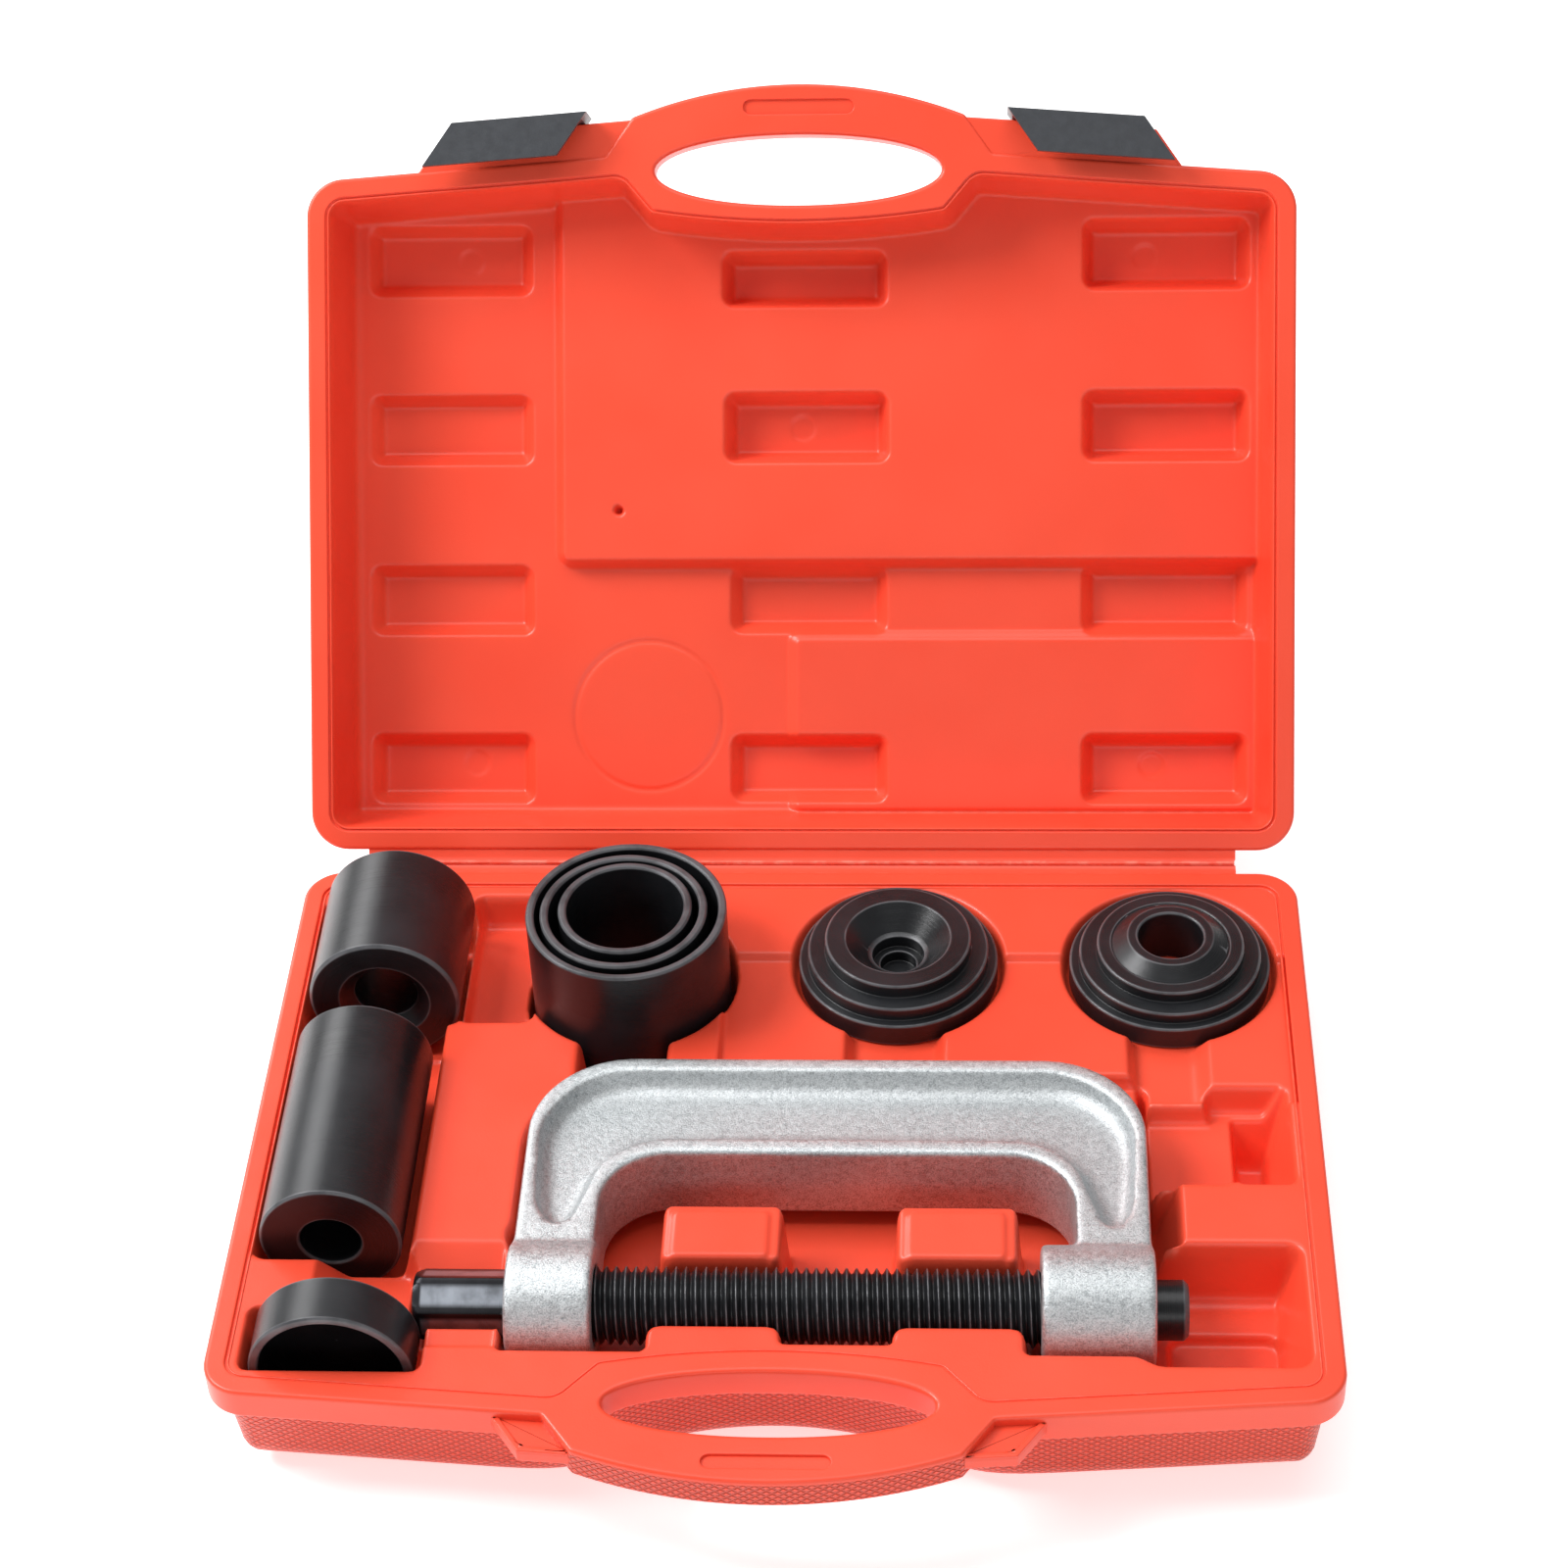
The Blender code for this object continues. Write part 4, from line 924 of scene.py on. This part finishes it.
tube("receiving_tube_large", "tube_large", 38.1, 34.925)
tube("receiving_tube_medium", "tube_medium", 31.75, 28.575)
tube("receiving_tube_small", "tube_small", 25.4, 22.225)
disc("concave_disc_turned", "adapter_disc_concave", "disc_concave", [(0, 0)], 5.5,
     lambda top: [(20.1, top), (11.7, top - 8.4), (9.9, top - 9.2), (9.9, top - 14.2),
                  (6.9, top - 14.2), (6.9, 1.6), (0, 1.6)])
disc("conical_disc_turned", "adapter_disc_conical", "disc_conical", [(12.4, 0)], 4.6,
     lambda top: [(22.6, top), (22.2, top - 0.5), (21.7, top), (16.3, top + 3.9),
                  (12.9, top + 3.9), (12.4, top + 3.4)])
for name, node, body, r, profile in (
        ("large_sleeve_turned", "ball_joint_sleeve_large", "sleeve_large", 0.3,
         [(12, 0), (27.6, 0), (28.6, 1), (28.6, 54.2), (27.6, 55.2), (17.3, 55.2), (12, 49.9)]),
        ("long_sleeve_turned", "installing_sleeve_long", "sleeve_long", 0.3,
         [(19, 0), (24.6, 0), (25.4, 0.8), (25.4, 94.0), (24.6, 94.8), (11.6, 94.8),
          (11, 94.2), (11, 22), (19, 22)]),
        ("cup_turned", "receiving_cup_short", "cup", 0.25,
         [(0, 0), (28.0, 0), (28.6, 0.6), (28.6, 18.4), (28.0, 19), (25.8, 19), (25.2, 18.4),
          (25.2, 4), (0, 4)])):
    lathe(name, node, body, facing_front(node), profile, r)


# ---- forcing screw ----

SCREW_Y, SCREW_Z = -90.5, 43.0
BORE_R, BOSS_R = 14.4, 22.2


def along_screw(x0):
    """Turns a piece drawn along +Z to lie along +X, its foot at x0."""
    return lambda v: np.stack([v[:, 2] + x0, v[:, 0] + SCREW_Y, v[:, 1] + SCREW_Z], 1)


def screw_thread():
    """The cut thread: a helix of flat-topped ridges that runs out at both ends."""
    pitch, crest, root = 3.5, 13.7, 11.6
    x0, x1 = -94.0, 112.0
    sides = 72
    xs = np.linspace(x0, x1, int((x1 - x0) / pitch * 12) + 1)
    X, T = np.meshgrid(xs, round_angles(sides), indexing="ij")
    phase = (X / pitch - T / (2 * math.pi)) % 1.0
    tri = np.abs(phase - 0.5) * 2
    shape = np.clip((tri - 0.12) / 0.80, 0, 1)
    R = root + (crest - root) * shape
    end = np.minimum(X - x0, x1 - X)
    R = np.minimum(R, root - 0.6 + np.maximum(end, 0) * 0.9)
    verts = np.stack([X, SCREW_Y + R * np.cos(T), SCREW_Z + R * np.sin(T)], 2).reshape(-1, 3)
    faces = ring_faces(sides, len(xs)) + end_faces(sides, len(xs))
    # The crests are painted lighter, partly as wear and partly as painted highlight.
    crest_rub_and_highlight = np.clip((shape.ravel() - 0.9) / 0.1, 0, 1) * 0.15
    make("screw_thread", verts, faces, "screw", STEEL, ("forcing_screw",),
         {"turn": np.repeat(xs, sides), "rub_and_highlight": crest_rub_and_highlight}, outward=True)


def screw_hexagon():
    """The hexagon, with one flat turned up a little to the front."""
    across = 22.2
    big = across / math.sqrt(3)
    corners = [(x, y, 0.5) for x, y in arc(0, 0, big, 26, 326, 5)]
    p = np.array(dense(fillet(corners, 3), 0.8))
    rad = np.hypot(p[:, 0], p[:, 1])
    # Each flat is painted bright, partly as rubbed steel and partly as painted highlight, less a
    # dark margin along its edges.
    margin = np.clip((big - 0.95 - rad) / 0.5, 0, 1)
    # A turned chamfer leads from the end face up to the full hexagon.
    levels = [(-126.0, 10.6), (-125.7, 11.2), (-124.6, 12.1), (-123.4, 13.0)]
    levels += [(x, 13.0) for x in np.arange(-122.6, -93.0, 1.2)]
    verts, rub_and_highlight, n = [], [], len(p)
    for x, cap in levels:
        y, z = (p * np.minimum(1.0, cap / rad)[:, None]).T
        verts.append(np.stack([np.full(n, x), SCREW_Y + y, SCREW_Z + z], 1))
        rub_and_highlight += list(margin * (x > -123.0))
    verts = np.concatenate(verts)
    faces = ring_faces(n, len(levels)) + end_faces(n, len(levels))
    obj = make("screw_hexagon", verts, faces, "screw", HEXAGON, (),
               {"turn": verts[:, 0], "rub_and_highlight": rub_and_highlight}, outward=True)
    obj.data.set_sharp_from_angle(angle=math.radians(28))


screw_thread()
screw_hexagon()
lathe("thrust_tip_turned", "thrust_tip", "screw_travel", along_screw(112.3),
      [(1.6, -12), (5, -12), (5, -7.1), (3.6, -7.1), (3.6, -5), (5, -5), (5, 0), (10.5, 0),
       (10.5, 29.4), (9.0, 31.0), (3.2, 31.0), (1.6, 29.4)], sides=96)


# ---- C-frame ----

def c_line(left, right, back, front, r):
    """One side of the C, from the left arm's end round to the right arm's."""
    def straight(a, b, n):
        return [(a[0] + (b[0] - a[0]) * k / n, a[1] + (b[1] - a[1]) * k / n) for k in range(n)]
    y = back - r
    return np.array(straight((left, front), (left, y), 34)
                    + arc(left + r, y, r, 180, 90, 28)[:-1]
                    + straight((left + r, back), (right - r, back), 40)
                    + arc(right - r, y, r, 90, 0, 28)[:-1]
                    + straight((right, y), (right, front), 34) + [(right, front)])


def frame_section(a, b):
    """The I-section across the C from its inner point a to its outer point b."""
    half, edge_r, sink, flange, recess_end = 16.0, 2.4, 7.5, 8.0, -66.0
    w = np.linalg.norm(b - a)
    y = (a[1] + b[1]) / 2
    u = 0.5 - 0.5 * np.cos(math.pi * np.linspace(0, 1, 44))
    dist = np.minimum(u, 1 - u) * w
    # The inner flange widens down either arm, so the recess narrows to its end.
    wide = flange + np.where(u < 0.5, 5.0 * np.clip((-34 - y) / 30, 0, 1), 0)
    # A quarter ellipse leads from the flange down to the web, round the recess's end too.
    run = min(8.0, 0.42 * (w - 2 * flange))
    to_side = np.maximum(1 - (dist - wide) / run, 0)
    to_end = max(1 - (y - recess_end) / run, 0)
    t = np.minimum(np.hypot(to_side, to_end), 1)
    e = np.clip((edge_r - dist) / edge_r, 0, 1)
    z = half - sink * np.sqrt(1 - t * t) - edge_r * (1 - np.sqrt(np.maximum(1 - e * e, 0)))
    # The sides lean out a little toward the parting line at half height.
    lean = 0.7 * (np.abs(z) / half)
    top = a + (b - a) * (np.clip(u * w, lean, w - lean) / w)[:, None]
    ring = [(*p, h) for p, h in zip(top, z)] + [(*b, 0.6), (*b, -0.6)]
    ring += [(*p, -h) for p, h in zip(top[::-1], z[::-1])] + [(*a, -0.6), (*a, 0.6)]
    return np.array(ring) + (0, 0, SCREW_Z)


def frame_sweep():
    """The cast C: an I-section swept from the left arm round to the right arm."""
    inner = c_line(-63.2, 104.5, -32.3, -92.0, 24.0)
    outer = c_line(-92.7, 131.5, 17.0, -92.0, 37.0)
    rings = [frame_section(a, b) for a, b in zip(inner, outer)]
    n = len(rings[0])
    return np.concatenate(rings), ring_faces(n, len(rings)) + end_faces(n, len(rings))


def about_screw(x, r, a):
    return x, SCREW_Y + r * math.cos(a), SCREW_Z + r * math.sin(a)


def drum(x0, x1):
    """A boss about the screw's axis, with its bore."""
    profile = fillet([(BORE_R, x0, 0.6), (BOSS_R, x0, 1.6), (BOSS_R, x1, 1.6),
                      (BORE_R, x1, 0.6)], 4)
    sides = 96
    verts = [about_screw(x, q, a) for a in round_angles(sides) for q, x in profile]
    return np.array(verts), ring_faces(len(profile), sides, True)


def bore_tool(x0, x1):
    """The cylinder that cuts one bore."""
    mesh = bpy.data.meshes.new("bore_tool")
    n = 64
    verts = [[c * MM for c in about_screw(x, BORE_R, a)] for x in (x0, x1)
             for a in round_angles(n)]
    sides = [(i, (i + 1) % n, n + (i + 1) % n, n + i) for i in range(n)]
    mesh.from_pydata(verts, [], sides + [tuple(range(n - 1, -1, -1)), tuple(range(n, 2 * n))])
    return add_object("bore_tool", mesh)


def joined_casting():
    """The sweep and the two bosses as one mesh of three closed bodies."""
    all_v, all_f, base = [], [], 0
    for v, f in (frame_sweep(), drum(-93.0, -62.6), drum(92.3, 131.8)):
        all_v.append(v)
        all_f += [tuple(i + base for i in q) for q in f]
        base += len(v)
    return make("c_frame_casting", np.concatenate(all_v), all_f, "c_frame", CAST,
                ("c_frame",), outward=True)


def melt(obj, tools):
    """Remeshes the bodies into one and cuts the tools out of it."""
    mod = obj.modifiers.new("cast", "REMESH")
    mod.mode = "VOXEL"
    mod.voxel_size = 0.0009
    mod.use_smooth_shade = True
    for tool in tools:
        mod = obj.modifiers.new("bore", "BOOLEAN")
        mod.operation = "DIFFERENCE"
        mod.solver = "EXACT"
        mod.object = tool
    graph = bpy.context.evaluated_depsgraph_get()
    mesh = bpy.data.meshes.new_from_object(obj.evaluated_get(graph))
    obj.modifiers.clear()
    old = obj.data
    obj.data = mesh
    bpy.data.meshes.remove(old)
    for tool in tools:
        bpy.data.objects.remove(tool)
    mesh.shade_smooth()
    return mesh


def relaxed(co, edges, free, rounds=5):
    """The free points drawn toward the mean of their neighbours."""
    count = len(co)
    degree = np.maximum(np.bincount(edges.ravel(), minlength=count)[:, None], 1)
    a, b = edges.T
    for _ in range(rounds):
        total = np.stack([np.bincount(a, co[b, k], count) + np.bincount(b, co[a, k], count)
                          for k in range(3)], 1)
        co = np.where(free, 0.4 * co + 0.6 * total / degree, co)
    return co


def cast_frame():
    """The casting: bodies melted together, bored through and smoothed."""
    mesh = melt(joined_casting(), [bore_tool(-100.0, -55.0), bore_tool(85.0, 140.0)])
    co = read(mesh.vertices, "co", 3)
    axis_gap = np.hypot(co[:, 1] / MM - SCREW_Y, co[:, 2] / MM - SCREW_Z)
    free = (axis_gap > BORE_R + 0.5)[:, None]
    co = relaxed(co, read(mesh.edges, "vertices", 2, np.int64), free)
    mesh.vertices.foreach_set("co", co.ravel())
    mesh.update()
    # The web between the flanges is marked for painted shade in the material.
    depth = np.abs(co[:, 2] / MM - SCREW_Z)
    away = np.clip((axis_gap - 24) / 6, 0, 1)
    up = np.abs(read(mesh.vertices, "normal", 3, np.float32)[:, 2])
    painted_web_shade = np.clip((14.5 - depth) / 5, 0, 1) * away * np.clip((up - 0.3) / 0.4, 0, 1)
    set_values(mesh, "painted_web_shade", painted_web_shade)


cast_frame()


# ---- latches, hinge and ring keep their CAD shape ----

def finish_node(node, mat, bevel=0.0):
    """Gives a CAD node its material and, if asked, a rounded edge."""
    obj = NODES[node]
    obj.data.materials.clear()
    obj.data.materials.append(mat)
    if bevel:
        mod = obj.modifiers.new("edge", "BEVEL")
        mod.width = bevel * MM
        mod.segments = 3
        mod.limit_method = "ANGLE"
        mod.angle_limit = math.radians(30)
        mod.harden_normals = True


for node in ("latch_left", "latch_right"):
    finish_node(node, LATCH, 0.6)
finish_node("living_hinge_strip", TRAY)
finish_node("tip_snap_ring", STEEL)


def hinge_web(name, place, body):
    """The thin web from a rim up to the bending line."""
    section = [(127.5, 0.8), (131.6, 0.8), (132.8, 0.5), (133.7, 0.0), (133.8, 0.7), (133.0, 1.4),
               (131.6, 2.2), (127.5, 2.4)]
    xs = [-172.0, -171.2, *np.linspace(-165, 165, 23), 171.2, 172.0]
    # The web is a little shorter at its very ends.
    verts = [(x, min(y, 132.6 if abs(x) > 171.5 else 133.8), d) for x in xs for y, d in section]
    n = len(section)
    faces = ring_faces(n, len(xs)) + end_faces(n, len(xs))
    obj = make(name, place(verts), faces, body, TRAY, outward=True)
    obj.data.set_sharp_from_angle(angle=math.radians(45))


hinge_web("base_hinge_web", place_base, "case_base")
hinge_web("lid_hinge_web", place_lid, "lid")


# ---- floor, light and camera ----

def studio():
    mesh = bpy.data.meshes.new("floor")
    s = 6.0
    corners = ((-s, -s), (s, -s), (s, s), (-s, s))
    mesh.from_pydata([(x, y, -0.0004) for x, y in corners], [], [(0, 1, 2, 3)])
    mesh.materials.append(Material("pale_floor").finish(
        Base_Color=(0.95, 0.95, 0.95, 1), Emission_Color=(1, 1, 1, 1), Emission_Strength=0.55,
        Roughness=0.7, Specular_IOR_Level=0.2))
    add_object("floor", mesh)

    def area(name, where, look, size, power):
        light = bpy.data.lights.new(name, "AREA")
        light.shape = "RECTANGLE"
        light.size, light.size_y = size
        light.energy = power
        obj = add_object(name, light)
        obj.location = where
        obj.rotation_mode = "QUATERNION"
        aim = Vector(look) - Vector(where)
        obj.rotation_quaternion = aim.to_track_quat("-Z", "Y")

    area("top_softbox", (0.1, 0.3, 1.9), (0, 0.05, 0.0), (1.5, 1.2), 13)
    area("key_softbox", (-1.2, 0.1, 1.45), (0, 0.1, 0.12), (0.8, 0.8), 29)
    area("front_fill", (0.5, -1.9, 0.9), (0, 0, 0.1), (1.6, 0.7), 6)
    area("rear_left_softbox", (-1.1, 1.2, 1.05), (-0.1, 0, 0.05), (0.7, 0.9), 12)

    world = bpy.data.worlds.new("studio")
    bpy.context.scene.world = world
    world.use_nodes = True
    back = world.node_tree.nodes["Background"]
    back.inputs["Color"].default_value = (1, 1, 1, 1)
    back.inputs["Strength"].default_value = 0.30


def camera():
    """The camera fitted to the photo, with its turn as pitch, yaw and roll."""
    cam = bpy.data.cameras.new("camera")
    cam.lens, cam.sensor_width = 79.73, 36.0
    cam.clip_start, cam.clip_end = 0.05, 20.0
    obj = add_object("camera", cam)
    pitch, yaw, roll = (math.radians(a) for a in (40.34, -4.11, 2.65))
    ahead = Vector((math.cos(pitch) * math.sin(yaw), math.cos(pitch) * math.cos(yaw),
                    -math.sin(pitch)))
    right0 = Vector((math.cos(yaw), -math.sin(yaw), 0))
    down0 = ahead.cross(right0)
    right = math.cos(roll) * right0 + math.sin(roll) * down0
    down = -math.sin(roll) * right0 + math.cos(roll) * down0
    turn = Matrix((right, -down, -ahead)).transposed().to_4x4()
    obj.matrix_world = Matrix.Translation((0.0692, -0.8926, 0.9654)) @ turn
    bpy.context.scene.camera = obj


studio()
camera()
bpy.context.scene.view_settings.view_transform = "Standard"

bpy.context.view_layer.update()
